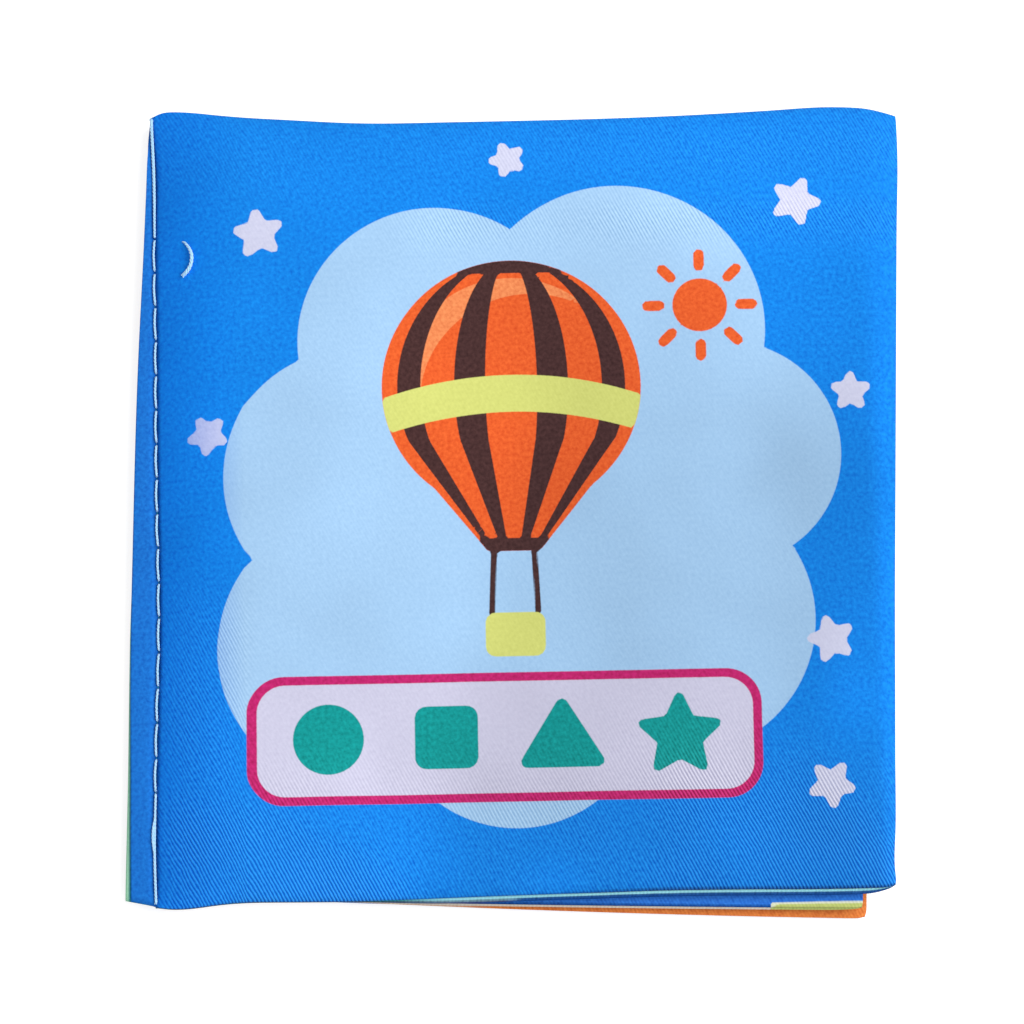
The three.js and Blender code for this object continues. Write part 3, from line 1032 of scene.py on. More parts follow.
class Wiring:
    """The nodes and links of a material or of the world while it is being made."""

    def __init__(self, owner: "bpy.types.Material | bpy.types.World") -> None:
        """Starts with no nodes.

        Args:
            owner: The new material or world.
        """
        self.owner = owner
        owner.use_nodes = True
        self.tree = owner.node_tree
        self.tree.nodes.clear()

    def add(
        self, kind: str, inputs: dict | None = None, out: "int | str | None" = 0, **settings: object
    ) -> "bpy.types.NodeSocket | None":
        """Adds one node with its settings and links.

        Args:
            kind: Blender's name of the node type, without "ShaderNode" before it.
            inputs: Values or links for its sockets, by name or number.
            out: The output to return, by name or number, or None for a node that has none.
            settings: Properties of the node.

        Returns:
            That output.
        """
        node = self.tree.nodes.new("ShaderNode" + kind)
        for key, value in settings.items():
            setattr(node, key, value)
        for key, value in (inputs or {}).items():
            if isinstance(value, bpy.types.NodeSocket):
                self.tree.links.new(value, node.inputs[key])
            else:
                node.inputs[key].default_value = value
        return None if out is None else node.outputs[out]

    def finish(self, inputs: dict) -> bpy.types.Material:
        """Closes a material with a Principled shader that has these inputs, and returns it."""
        self.add("OutputMaterial", {"Surface": self.add("BsdfPrincipled", inputs)}, None)
        return self.owner


def net_object(name: str, points: Array, flat: Array, facing_up: bool, levels: int) -> bpy.types.Object:
    """Makes a sheet of cloth over a net of points.

    Args:
        name: Name of the piece.
        points: Rows by columns of places in the row frame, in metres.
        flat: Rows by columns of print places in millimetres.
        facing_up: Whether its outer face looks up.
        levels: Times that each face is split in four.

    Returns:
        The piece, smooth, with the attribute flat at its points.
    """
    rows, columns = points.shape[:2]
    bm = bmesh.new()
    bmesh.ops.create_grid(bm, x_segments=columns - 1, y_segments=rows - 1, size=1.0)
    places = bm.verts.layers.float_vector.new("flat")
    for vert in bm.verts:
        c = round((vert.co.x + 1) / 2 * (columns - 1))
        r = round((vert.co.y + 1) / 2 * (rows - 1))
        vert.co = points[r, c]
        vert[places] = flat[r, c]
    if not facing_up:
        bmesh.ops.reverse_faces(bm, faces=bm.faces)
    piece = mesh_object(name, bm, True)
    if levels:
        finer = piece.modifiers.new("finer", "SUBSURF")
        finer.levels = finer.render_levels = levels
        finer.boundary_smooth = "PRESERVE_CORNERS"
        settle(piece)
    return piece


def settle(piece: bpy.types.Object) -> None:
    """Makes a piece's modifiers part of its mesh.

    Args:
        piece: The piece, which has no modifier afterwards.
    """
    bpy.context.view_layer.update()
    graph = bpy.context.evaluated_depsgraph_get()
    made = bpy.data.meshes.new_from_object(piece.evaluated_get(graph), depsgraph=graph)
    old = piece.data
    piece.modifiers.clear()
    piece.data = made
    bpy.data.meshes.remove(old)


def write_values(piece: bpy.types.Object, name: str, values: Array) -> None:
    """Writes one number to each point of a piece, as an attribute with this name."""
    attribute = piece.data.attributes.new(name, "FLOAT", "POINT")
    attribute.data.foreach_set("value", values.astype(np.float32))


def flat_places(piece: bpy.types.Object) -> Array:
    """Reads where each point of a piece lies in the flat print.

    Args:
        piece: A piece with the attribute flat.

    Returns:
        Three rows: places across and along in millimetres, and how thick the cloth is drawn there.
    """
    flat = np.zeros(len(piece.data.vertices) * 3, np.float32)
    piece.data.attributes["flat"].data.foreach_get("vector", flat)
    return flat.reshape(-1, 3).T.astype(float)


def dress(
    piece: bpy.types.Object, cloth: PrintedCloth, slot: str, show: Shape, painted_shading: Shape = even(1.0)
) -> None:
    """Prints a piece and gives it its material.

    Args:
        piece: A piece with the attribute flat.
        cloth: Its fabric and print.
        slot: The record's material slot. Not used.
        show: How strongly the twill shows at a place, from 0 to 2.
        painted_shading: Painted shade: the share of the colour kept at a place.
    """
    u, v, _ = flat_places(piece)
    for ink in cloth.inks:
        write_values(piece, ink.name, ink.shape(u, v))
    write_values(piece, "show", show(u, v))
    write_values(piece, "painted_shading", painted_shading(u, v))
    piece.data.materials.clear()
    piece.data.materials.append(cloth.material())


def thicken(piece: bpy.types.Object, thickness: float, thinnest: float = 0.05) -> None:
    """Gives a sheet its thickness, inwards from the face that shows.

    It thins out at the turned edges, where the third number of the attribute flat is below 1.

    Args:
        piece: The sheet.
        thickness: In millimetres.
        thinnest: Share of it that is left at a turned edge.
    """
    group = piece.vertex_groups.new(name="wall")
    for index, share in enumerate(np.clip(flat_places(piece)[2], 0.0, 1.0)):
        group.add([index], float(share), "REPLACE")
    wall = piece.modifiers.new("cloth_thickness", "SOLIDIFY")
    wall.thickness = thickness * MM
    wall.offset = -1.0
    wall.use_even_offset = False
    wall.vertex_group = group.name
    wall.thickness_vertex_group = thinnest


class Prints:
    """The book's prints: plain shapes in the colours of a toy book, with painted shade, shadow and light laid
    over some of them as further inks.
    """

    @staticmethod
    def stars(places: tuple[tuple[float, float, float, float], ...]) -> Shape:
        """Stars at several places, each with its size and turn."""
        return union(*(star(*p) for p in places))

    @staticmethod
    def balloon(x: float, y: float, radius: float) -> Shape:
        """The envelope of a hot-air balloon."""
        low = y - 1.3 * radius
        sides = [(x - 0.9 * radius, y - 0.43 * radius), (x - 0.2 * radius, low),
                 (x + 0.2 * radius, low), (x + 0.9 * radius, y - 0.43 * radius)]
        return union(disc(x, y, radius), outline(sides))

    @staticmethod
    def gores(x: float, y: float, radius: float) -> Shape:
        """Curved upright bands over a balloon's envelope."""

        def distance(u: Array, v: Array) -> Array:
            """Distance from the nearest band's edge."""
            upper = np.sqrt(np.maximum(0.0, 1 - ((v - y) / radius) ** 2))
            lower = np.clip(0.9 - (y - 0.43 * radius - v) / radius * 0.8046, 0.1, 1.0)
            half = radius * np.where(v > y - 0.43 * radius, upper, lower)
            away = np.abs(u - x)
            inner = np.maximum(0.2 * half - away, away - 0.44 * half)
            return np.minimum(inner, np.maximum(0.7 * half - away, away - 0.88 * half))

        return both(distance, Prints.balloon(x, y, radius))

    @staticmethod
    def front() -> PrintedCloth:
        """The front cover: a balloon before a cloud, and a label with three plain shapes."""
        foot = cover_foot_line()
        x, y, radius = 47.0, 67.5, 17.0
        envelope = Prints.balloon(x, y, radius)
        cloud = union(disc(26, 56, 17), disc(37, 74, 18), disc(61, 75, 19.5), disc(75, 58, 15),
                      disc(68, 36, 18), disc(47, 26, 17), disc(25, 33, 17), disc(48, 54, 26))
        stars = Prints.stars(((14, 89, 3.4, 8), (7, 62, 2.8, 30), (88, 33, 3.2, 15), (85, 92, 3.4, 50),
                              (91.5, 66, 2.7, 0), (47, 98.5, 2.5, 20), (87.5, 14, 3.2, 40)))
        band = both(lambda u, v: np.abs(v - (y - 1 - 0.01 * (u - x) ** 2)) - 2.5, envelope)
        top, low = y + 0.9 * radius, y - 1.2 * radius
        ends = both(union(lambda u, v: top - v, lambda u, v: v - low), envelope)
        lit = 0.86 * radius
        glow = both(envelope, disc(x, y, lit), lambda u, v: lit - np.hypot(u - x - 2.6, v - y + 2.2))
        basket = label(x, y - 1.95 * radius, 7.8, 5.8, 1.3)
        ropes = union(*(bar(x + 2.6 * s, low - 1, x + 3.0 * s, low - 10, 0.8) for s in (-1, 1)))
        shapes = union(disc(22.5, 21, 4.6), label(37.8, 21, 8.2, 8.2, 1.5),
                       outline([(48.2, 17.6), (57.4, 17.6), (52.8, 25.0)], 0.8), star(68, 20.7, 5.6, 0))
        sun = union(disc(72, 78, 3.6), *(bar(72 + 5.3 * math.cos(a), 78 + 5.3 * math.sin(a),
                                             72 + 6.9 * math.cos(a), 78 + 6.9 * math.sin(a), 1.4)
                                         for a in (math.radians(45 * i) for i in range(8))))
        return PrintedCloth("printed_twill_front", Dye.ROYAL_BLUE, (
            Ink("ink_cloud", Dye.PALE_BLUE, cloud),
            Ink("ink_stars", Dye.LAVENDER, stars),
            Ink("ink_orange", Dye.ORANGE, union(envelope, sun)),
            Ink("ink_glow", Dye.LIGHT_ORANGE, glow),
            Ink("ink_brown", Dye.DARK_BROWN, union(Prints.gores(x, y, radius), ends, ropes)),
            Ink("ink_lime", Dye.LIME, union(band, basket)),
            Ink("ink_border", Dye.MAGENTA, label(45.4, 20.9, 66.6, 16.9, 4.6)),
            Ink("ink_label", Dye.LABEL_LILAC, label(45.4, 20.9, 64.3, 14.6, 3.6)),
            Ink("ink_teal", Dye.TEAL, shapes),
            # Painted shade: a deeper blue painted softly over the cover by the stitch row, where the cloth
            # lies in the fold's shade
            Ink("ink_fold_shade", Dye.FOLD_SHADE_BLUE, lambda u, v: u - 4.0, 16.0, 0.9),
            # Painted shadow: a dark navy line painted along the stitch row, where the groove lies in shade
            Ink("ink_crease_shadow", Dye.PAINTED_SHADE_NAVY, lambda u, v: u - 0.4, 0.5, 0.8),
            # Painted shade: dark navy painted along the foot edge, where the cloth turns down away from the
            # light, wider towards the fore edge
            Ink("ink_turn_shade", Dye.PAINTED_SHADE_NAVY,
                lambda u, v: v - foot(u) - 0.26 * smooth_share(u, 46, 66), 0.4, 0.85),
        ))

    @staticmethod
    def front_inside() -> PrintedCloth:
        """Inside the front cover: a blue page with a sea-green border."""
        foot = cover_foot_line()
        page = label(48.0, 55.0, 94.6, 113.6, 4.0)
        small = Prints.stars(((20, 92, 4, 0), (80, 92, 4, 20), (20, 16, 4, 10), (80, 16, 4, 30)))

        def turn(u: Array, v: Array) -> Array:
            """The seam's outermost turn at the foot."""
            return np.abs(v - foot(u) - 0.05) - 0.185

        return PrintedCloth("printed_twill_front_inside", Dye.SEA_GREEN, (
            Ink("ink_aqua", Dye.AQUA, lambda u, v: 34.0 - u, 6.0),
            Ink("ink_page", Dye.PAGE_BLUE, both(page, lambda u, v: foot(u) - v - 0.08)),
            # Painted shade: dark navy painted on the seam's outermost turn at the foot, from the middle to
            # the fore edge, which lies in shade
            Ink("ink_turn_shade", Dye.PAINTED_SHADE_NAVY, both(turn, lambda u, v: 0.02 * (46 - u)), 0.05, 0.95),
            # Painted shadow: dark brown painted on the same turn nearer the spine, standing in for the shadow
            # where the lip meets the leaf below
            Ink("ink_lip_shadow", Dye.DARK_BROWN, both(turn, lambda u, v: 0.02 * (u - 46)), 0.05, 0.6),
            Ink("ink_disc", Dye.LIME, disc(50, 60, 24)),
            Ink("ink_star", Dye.ORANGE, star(50, 59, 17, 0)),
            Ink("ink_small", Dye.LAVENDER, small),
        ))

    @staticmethod
    def middle_front() -> PrintedCloth:
        """The middle leaf's front: an indigo page with a lime tile at its near corner."""
        dots = union(*(disc(20 + 15 * i, 24 + 17 * k, 2.4) for i in range(5) for k in range(5)))
        foot = middle_leaf_lines()[1]
        return PrintedCloth("printed_twill_middle_front", Dye.INDIGO, (
            Ink("ink_dots", Dye.PALE_BLUE, dots),
            # Painted shade: dark navy painted on the turned foot edge, which lies in shade under the cover
            Ink("ink_turn_shade", Dye.PAINTED_SHADE_NAVY, lambda u, v: v - foot(u) - 0.25, 0.35, 0.95),
            Ink("ink_edge", Dye.TILE_PALE, label(85.45, -3.55, 12.1, 5.6, 0.2)),
            Ink("ink_tile", Dye.TILE_LIME, label(85.55, -3.65, 11.8, 5.3, 0.2)),
            # Painted shadow: dark brown painted over the tile's turn at the foot, standing in for the shadow
            # where this edge meets the page below
            Ink("ink_under_shadow", Dye.DARK_BROWN, lambda u, v: np.maximum(v - foot(u) - 0.05, 79.5 - u), 0.3, 0.6),
        ))

    @staticmethod
    def middle_back() -> PrintedCloth:
        """The middle leaf's back: a pale page with teal squares."""
        squares = union(*(label(24 + 26 * i, 26 + 27 * k, 13, 13, 2.5) for i in range(3) for k in range(3)))
        return PrintedCloth("printed_twill_middle_back", Dye.PAGE_PALE, (
            Ink("ink_squares", Dye.TEAL, squares),
            Ink("ink_corner", Dye.TILE_LIME, label(86.5, -2.5, 14.2, 5.3, 0.2)),
        ))

    @staticmethod
    def back_inside() -> PrintedCloth:
        """Inside the back cover: an orange page with lime discs."""
        discs = union(*(disc(22 + 27 * i, 25 + 28 * k, 8) for i in range(3) for k in range(3)))
        centres = union(*(disc(22 + 27 * i, 25 + 28 * k, 4) for i in range(3) for k in range(3)))
        foot = back_cover_lines()[1]
        return PrintedCloth("printed_twill_back_inside", Dye.PAGE_ORANGE, (
            Ink("ink_discs", Dye.LIME, discs),
            Ink("ink_centres", Dye.MAGENTA, centres),
            Ink("ink_rubbed", Dye.PAGE_PALE,
                lambda u, v: np.maximum(v - foot(u) - 0.5, 0.05 * (u - 40)), 0.3, 0.6),
        ))

    @staticmethod
    def back() -> PrintedCloth:
        """The outside of the back cover: blue with a cloud and stars."""
        cloud = union(disc(34, 30, 14), disc(52, 34, 17), disc(68, 29, 13), label(50, 24, 56, 14, 7))
        stars = Prints.stars(((20, 88, 3.4, 8), (46, 78, 3.0, 30), (76, 90, 3.4, 0), (84, 58, 3.2, 15),
                              (16, 58, 3.0, 25)))
        return PrintedCloth("printed_twill_back", Dye.ROYAL_BLUE, (
            Ink("ink_cloud", Dye.PALE_BLUE, cloud),
            Ink("ink_stars", Dye.LAVENDER, stars),
        ))

    @staticmethod
    def selvage(name: str, ground: Dye) -> PrintedCloth:
        """A strip with no figure: the blue one in a darker blue as painted shade, with painted shadow along
        the row, and the sea-green one with painted light along its edge.
        """
        row, edge = Binding().row, Binding().flange_inner
        if ground is Dye.ROYAL_BLUE:
            # Painted shade: the strip's ground is a darker, greyer copy of the cover's blue, for the flange
            # that slopes away from the light
            return PrintedCloth(name, Dye.SHADED_SPINE_BLUE, (
                # Painted shadow: dark navy painted along the stitch row on the strip, where the groove lies
                # in shade
                Ink("ink_crease_shadow", Dye.PAINTED_SHADE_NAVY, lambda u, v: row(v) - u - 0.36, 0.6, 0.75),
            ))
        if ground is not Dye.SEA_GREEN:
            return PrintedCloth(name, ground)
        return PrintedCloth(name, ground, (
            # Painted light and shade: the sea-green ground stands for the strip in shade under the cover's
            # outer panel, and pale green is painted along its outer edge, where the light falls on it
            Ink("ink_lit_edge", Dye.LIT_EDGE_GREEN,
                lambda u, v: u - edge(v) - 0.15 - 0.3 * smooth_share(-v, -24, 0), 0.3),
        ))


@dataclass
class PaddedLeaf:
    """One leaf: two printed panels sewn round a sponge sheet and a crinkle film.

    Attributes:
        leaf: Its shape.
        body: CAD body that it moves with.
        hinge_body: Body that it hangs from, or None for the leaf that lies still.
        panels: For each of its two faces, the under one first: the panel's name, its print and
            the record's slot.
        relief: Dents of its padding.
        step: Spacing of the net of its under panel.
        upper_step: The same of its upper panel.
        row_stations: Stations of the nets by the stitch row, from it.
        edge_steps: Stations round each sewn edge.
        pieces: The panels, the sponge and the film, once they are built.
    """

    leaf: Leaf
    body: str
    hinge_body: str | None
    panels: tuple[tuple[str, PrintedCloth, str], tuple[str, PrintedCloth, str]]
    relief: Relief
    step: float = 4.0
    upper_step: float = 4.0
    row_stations: tuple[float, ...] = (0.0, 0.18, 0.36, 0.6, 1.0, 1.8, 3.2, 5.4, 8.2)
    edge_steps: int = 5
    pieces: list[bpy.types.Object] = field(default_factory=list)

    def build(self) -> None:
        """Builds the panels and the filling."""
        for upper, (panel, cloth, slot) in enumerate(self.panels):
            self.pieces.append(self.panel(panel, cloth, slot, bool(upper)))
        sponge = self.sponge()
        self.pieces += [sponge, self.film()]
        for piece in self.pieces:
            log.info("%s: %s", self.leaf.name, piece.name)

    def bind(self, piece: bpy.types.Object) -> None:
        """Ties a piece to the leaf's body if the leaf lies still, and otherwise makes the piece's transform
        part of its mesh.

        Args:
            piece: A panel.
        """
        if self.hinge_body is None:
            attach(piece, self.body)
            return
        start = self.leaf.binding.origin()
        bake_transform(piece)

    def panel(self, panel: str, cloth: PrintedCloth, slot: str, upper: bool) -> bpy.types.Object:
        """Builds one panel.

        Args:
            panel: Name of the panel in the CAD part.
            cloth: Its print.
            slot: The record's material slot.
            upper: True for the upper panel.

        Returns:
            The piece.
        """
        step = self.upper_step if upper else self.step
        net = Net(self.leaf, step, self.row_stations, self.edge_steps)
        points, flat = self.leaf.surface(net, upper, self.relief)
        name = f"{self.leaf.name}_{panel}_cloth"
        piece = net_object(name, self.leaf.binding.place(points), flat, upper, 2)
        if upper and self.leaf.level == 2:
            dress(piece, cloth, slot, self.show, self.painted_shading)
        else:
            dress(piece, cloth, slot, even(0.3))
        self.bind(piece)
        thicken(piece, self.leaf.binding.fabric)
        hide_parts(f"{self.leaf.name}_{panel}")
        return piece

    @staticmethod
    def show(u: Array, v: Array) -> Array:
        """Where the cover's twill catches the light.

        Args:
            u: Places across.
            v: Places along.

        Returns:
            Strengths from 0 to 2: most at the two foot corners, less between them, up the spine
            side and along a band by the head.
        """
        near = 1.9 * (1 - smooth_share(v, 5, 24)) * (1 - smooth_share(u + 1.5 * v, 22, 48))
        near = near * smooth_share(u, -2, 5)
        side = 0.75 * (1 - smooth_share(v, 34, 46)) * (1 - smooth_share(u, 9, 14)) * smooth_share(u, -2, 5)
        middle = 0.6 * (1 - smooth_share(v, 10, 22))
        far = 1.55 * smooth_share(u, 54, 72) * (1 - smooth_share(v - 0.12 * (80 - u), 8, 27))
        far = far * (1 - smooth_share(v + (u - 84) * 1.2, 14, 30) * smooth_share(u, 80, 88))
        band = 0.62 * np.exp(-(((v - 89.5) / 3.4) ** 2)) * smooth_share(u, 28, 42)
        head = (0.22 + 0.25 * smooth_share(u, 45, 70)) * smooth_share(v, 90, 100)
        return np.clip(0.05 + np.maximum.reduce([near, side, middle, far, band, head]), 0.0, 2.0)

    @staticmethod
    def painted_shading(u: Array, v: Array) -> Array:
        """Painted shade over the cover: how much its colour is darkened at each place.

        Args:
            u: Places across.
            v: Places along.

        Returns:
            Shares of the colour kept under the painted shade: least over the half by the fore edge and the
            foot.
        """
        shade_depth = smooth_share(u - 0.25 * v, 28, 42) * (1 - smooth_share(v, 50, 98))
        shade_depth = shade_depth * (0.18 + 0.06 * smooth_share(u, 74, 86)) * (1 - 0.85 * smooth_share(u, 93.0, 96.0))
        shade_depth = shade_depth + 0.06 * np.exp(-(((u - 62) / 8) ** 2) - ((v - 9) / 6) ** 2)
        shade_depth = shade_depth - 0.16 * np.exp(-(((u - 91) / 4.5) ** 2) - ((v - 26.5) / 6) ** 2)
        return 1 - np.clip(shade_depth - 0.12 * np.exp(-(((u - 51) / 5) ** 2) - ((v - 1) / 4) ** 2), 0.0, 1.0)

    def sponge(self) -> bpy.types.Object:
        """Builds the sponge sheet: a crowned, closed pad with rounded, pulled-in sides.

        Returns:
            The piece.
        """
        steps, lift, thick = 24, 0.42, 0.9
        x, y, across, along = self.leaf.inside(steps)
        base = self.leaf.under_at(x, y) + lift
        edge = np.minimum(np.minimum(across, 1 - across), np.minimum(along, 1 - along))
        half = thick / 2 * np.sqrt(np.clip(1 - (1 - np.clip(edge / 0.06, 0, 1)) ** 2, 0, 1))
        pull = 1.2 * (4 * along * (1 - along)) * np.where(across > 0.99, 1.0, 0.0)
        faces = {
            side: self.leaf.binding.place(np.stack([x - pull, y, base + thick / 2 + side * half], axis=-1))
            for side in (1.0, -1.0)
        }

        def place(side: float, across: float, along: float) -> Array:
            """A point of the pad's upper or under face."""
            return faces[side][round(along * (steps - 1)), round(across * (steps - 1))]

        node = f"{self.leaf.name}_wadding"
        piece = closed_pad(f"{node}_pad", (steps - 1, steps - 1), place, True)
        piece.data.materials.append(SpongeFoam().material())
        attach(piece, self.body)
        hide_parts(node)
        return piece

    def film(self) -> bpy.types.Object:
        """Builds the crinkle film on the sponge: a thin sheet with soft creases.


        Returns:
            The piece.
        """
        x, y, across, along = self.leaf.inside(40)
        depth = self.leaf.level * 5.0
        crease = np.vectorize(lambda a, b: noise.noise(Vector((a * 15, b * 16, depth))))(across, along)
        z = self.leaf.under_at(x, y) + 1.46 + 0.14 * crease
        node = f"{self.leaf.name}_crinkle_film"
        points = self.leaf.binding.place(np.stack([x, y, z], axis=-1))
        piece = net_object(f"{node}_sheet", points, np.stack([x, y, z * 0], axis=-1), True, 0)
        piece.data.materials.append(CrinkleFilm().material())
        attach(piece, self.body)
        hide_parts(node)
        return piece


@dataclass
class Spine:
    """The fabric left of the stitch row: one strip of each panel, pinched in the row.

    Attributes:
        binding: The sewn spine.
        droop: How far the top strip hangs at its left edge, for each millimetre of its width.
    """

    binding: Binding = Binding()
    droop: float = 0.2

    def build(self, leaves: list[PaddedLeaf]) -> None:
        """Builds the six strips.

        Args:
            leaves: The leaves, the lowest first.
        """
        for padded_leaf in leaves:
            for side, (panel, cloth, slot) in enumerate(padded_leaf.panels):
                piece = self.strip(padded_leaf.leaf, panel, side, slot, cloth.ground)
                log.info("spine: %s", piece.name)

    def strip(self, leaf: Leaf, panel: str, side: int, slot: str, ground: Dye) -> bpy.types.Object:
        """Builds one strip.

        Args:
            leaf: Leaf that it belongs to.
            panel: Name of its panel.
            side: 0 for the under panel, 1 for the upper one.
            slot: The record's material slot.
            ground: Its colour.

        Returns:
            The piece.
        """
        bind = self.binding
        order = leaf.level * 2 + side
        share, along = np.meshgrid(np.linspace(0, 1, 9), np.linspace(0, 1, 61))
        y = mix(0.25 if order >= 4 else 0.6, 106.1, along)
        left = bind.flange_inner(y) if order == 4 else bind.flange(y)
        if order < 4:
            left = left * (0.93 - 0.03 * (3 - order)) + 0.12 * np.sin(y / 9.0 + order)
        right = bind.row(y) + 0.03
        x = mix(left, right, share)
        y = y - 0.24 * np.minimum(x, 0.0) * (1 - along)
        rest = bind.stack_lift + leaf.level * bind.sewn_pitch + side * (bind.fabric + bind.panel_gap)
        away = np.maximum(0.0, right - x)
        droop = self.droop * (0.45 + 0.55 * order / 5) * away ** 1.25
        wave = 0.06 * np.sin(y / 6.5 + order) * np.minimum(1.0, away / 2)
        z = rest + bind.fabric - droop + wave
        if order == 5:
            z = z - bind.valley(away, y, leaf.groove)
        name = f"{leaf.name}_{panel}_spine_cloth"
        points = bind.place(np.stack([x, y, z], axis=-1))
        piece = net_object(name, points, np.stack([x, y, z * 0 + 1], axis=-1), True, 1)
        dress(piece, Prints.selvage(f"twill_{leaf.name}_{panel}_spine", ground), slot, even(0.05))
        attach(piece, "book_base")
        thicken(piece, bind.fabric)
        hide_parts(f"{leaf.name}_{panel}_spine_edge")
        return piece


@dataclass
class Stitching:
    """White three-ply thread: the spine's lockstitch and the tack on the cover.

    Attributes:
        binding: The sewn spine.
        width: Thickness of the thread.
        twist: Length of one turn of the plies.
    """

    binding: Binding = Binding()
    width: float = 0.33
    twist: float = 1.5

    def twisted(self, name: str, routes: list[tuple[Array, Array]], node: str, body: str) -> bpy.types.Object:
        """Lays three plies round each route.

        Args:
            name: Name of the piece.
            routes: For each thread its points in millimetres and its thickness at each point,
                as a share of the full one.
            node: CAD node that it stands for.
            body: Body that it moves with.

        Returns:
            The piece.
        """
        ply = self.width / 2 / (1 + 2 / math.sqrt(3))
        curve = bpy.data.curves.new(f"{name}_path", "CURVE")
        curve.dimensions = "3D"
        curve.bevel_depth = ply * MM
        curve.bevel_resolution = 1
        curve.use_fill_caps = True
        for points, thick in routes:
            line, size = even_route(points, thick, self.twist / 8)
            sides, ups = carried_frames(line)
            run = run_along(line)
            for k in range(3):
                angle = 2 * math.pi * (run / self.twist + k / 3)
                reach = 2 / math.sqrt(3) * ply * size
                beside = (np.cos(angle) * reach)[:, None]
                above = (np.sin(angle) * reach)[:, None]
                strand = line + sides * beside + ups * above
                spline = curve.splines.new("POLY")
                spline.points.add(len(strand) - 1)
                placed = self.binding.place(strand)
                spline.points.foreach_set("co", np.column_stack([placed, np.ones(len(placed))]).ravel())
                spline.points.foreach_set("radius", size)
        drawn = add_object(f"{name}_path", curve)
        graph = bpy.context.evaluated_depsgraph_get()
        mesh = bpy.data.meshes.new_from_object(drawn.evaluated_get(graph), depsgraph=graph)
        bpy.data.objects.remove(drawn)
        bpy.data.curves.remove(curve)
        piece = add_object(name, mesh)
        for polygon in mesh.polygons:
            polygon.use_smooth = True
        mesh.materials.clear()
        mesh.materials.append(SewingThread().material())
        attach(piece, body)
        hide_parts(node)
        log.info("stitching: %s", name)
        return piece

    def row_route(self, top: float, dip: float, down: float) -> tuple[Array, Array]:
        """The way of one of the two threads of the lockstitch.

        Args:
            top: Height of its floats.
            dip: Depth of its loops in the holes.
            down: 1 for the needle thread, which dips, or -1 for the bobbin thread, which rises.

        Returns:
            Points in millimetres and the thickness at each.
        """
        bind = self.binding
        holes = [bind.first_hole - i * bind.pitch for i in range(bind.stitches + 1)]
        stops = [105.95, *holes, 0.75]
        points = [(-0.05, 106.2, top - down * 0.6), (0.0, 106.12, top - down * 0.15)]
        for upper, lower in zip(stops, stops[1:]):
            run = upper - lower
            held = [0.0, 0.13, 0.2, 0.28, 0.4, 0.7]
            for place in [*held, run / 2, *(run - h for h in reversed(held))]:
                share = place / run
                near = place if share < 0.5 else run - place
                through = upper in holes if share < 0.5 else lower in holes
                sunk = dip * float(1 - smooth_share(near, 0.1, 0.46)) if through else 0.0
                bow = -0.16 * math.sin(math.pi * share) + 0.08
                points.append((bow, upper - place, top - down * sunk))
        points += [(0.0, 0.6, top - down * 0.2), (0.0, 0.5, top - down * 0.7)]
        line = np.array(points)
        y = line[:, 1]
        line[:, 0] += bind.row(y)
        # The two long floats at the ends are slack, so their plies lie open
        return line, 1.0 + 0.35 * smooth_share(y, 90.0, 93.0) + 0.15 * (1 - smooth_share(y, 10.0, 15.0))

    def build(self) -> None:
        """Builds the needle thread and the bobbin thread."""
        top = self.binding.stack_top - 0.02
        needle = self.row_route(top, dip=0.95, down=1.0)
        y = np.linspace(12.2, 6.4, 14)
        share = np.linspace(0, 1, 14)
        spare = np.stack([self.binding.row(y) - 0.34 * np.sin(math.pi * share) + 0.03, y,
                          top + 0.2 - 0.3 * (2 * share - 1) ** 4], axis=-1)
        self.twisted("needle_thread_stitches", [needle, (spare, 0.45 + 0.5 * np.sin(math.pi * share))],
                     "needle_thread", "book_base")
        bobbin = self.row_route(self.binding.stack_lift - 0.2, dip=1.0, down=-1.0)
        self.twisted("bobbin_thread_stitches", [bobbin], "bobbin_thread", "book_base")

    def tack(self, leaf: Leaf) -> None:
        """Builds the bowed stitch on the cover.

        Args:
            leaf: The front cover.
        """
        line = np.array([(3.75, 88.7), (4.2, 88.3), (4.68, 87.6), (5.0, 86.8), (5.08, 86.1), (4.92, 85.2),
                         (4.45, 84.4), (3.82, 83.9)])
        under = leaf.under_at(line[:, 0], line[:, 1])
        face = mix(self.binding.stack_top, under + leaf.crown, leaf.rise(line[:, 0]))
        lift = np.array([-0.25, 0.1, 0.24, 0.3, 0.3, 0.28, 0.22, -0.05])
        thick = np.array([0.7, 1.05, 1.3, 1.5, 1.6, 1.6, 1.8, 1.75])
        self.twisted("front_cover_tack_stitch", [(np.column_stack([line, face + lift]), thick)],
                     "front_cover_tack_thread", "front_cover")


def even_route(points: Array, thick: Array, step: float) -> tuple[Array, Array]:
    """Sets points at even steps on a smooth line.

    Args:
        points: Points that the line goes through.
        thick: A value at each.
        step: Length of a step.

    Returns:
        The new points and their values.
    """
    values = np.column_stack([points, thick])
    padded = np.vstack([2 * values[0] - values[1], values, 2 * values[-1] - values[-2]])
    fine = []
    for i in range(1, len(padded) - 2):
        p0, p1, p2, p3 = padded[i - 1 : i + 3]
        for t in np.linspace(0, 1, 12, endpoint=False):
            fine.append(0.5 * (2 * p1 + (p2 - p0) * t + (2 * p0 - 5 * p1 + 4 * p2 - p3) * t * t
                               + (3 * p1 - p0 - 3 * p2 + p3) * t ** 3))
    fine = np.array([*fine, values[-1]])
    run = run_along(fine[:, :3])
    stops = np.linspace(0, run[-1], max(2, round(run[-1] / step)) + 1)
    even = np.column_stack([np.interp(stops, run, fine[:, k]) for k in range(4)])
    return even[:, :3], even[:, 3]


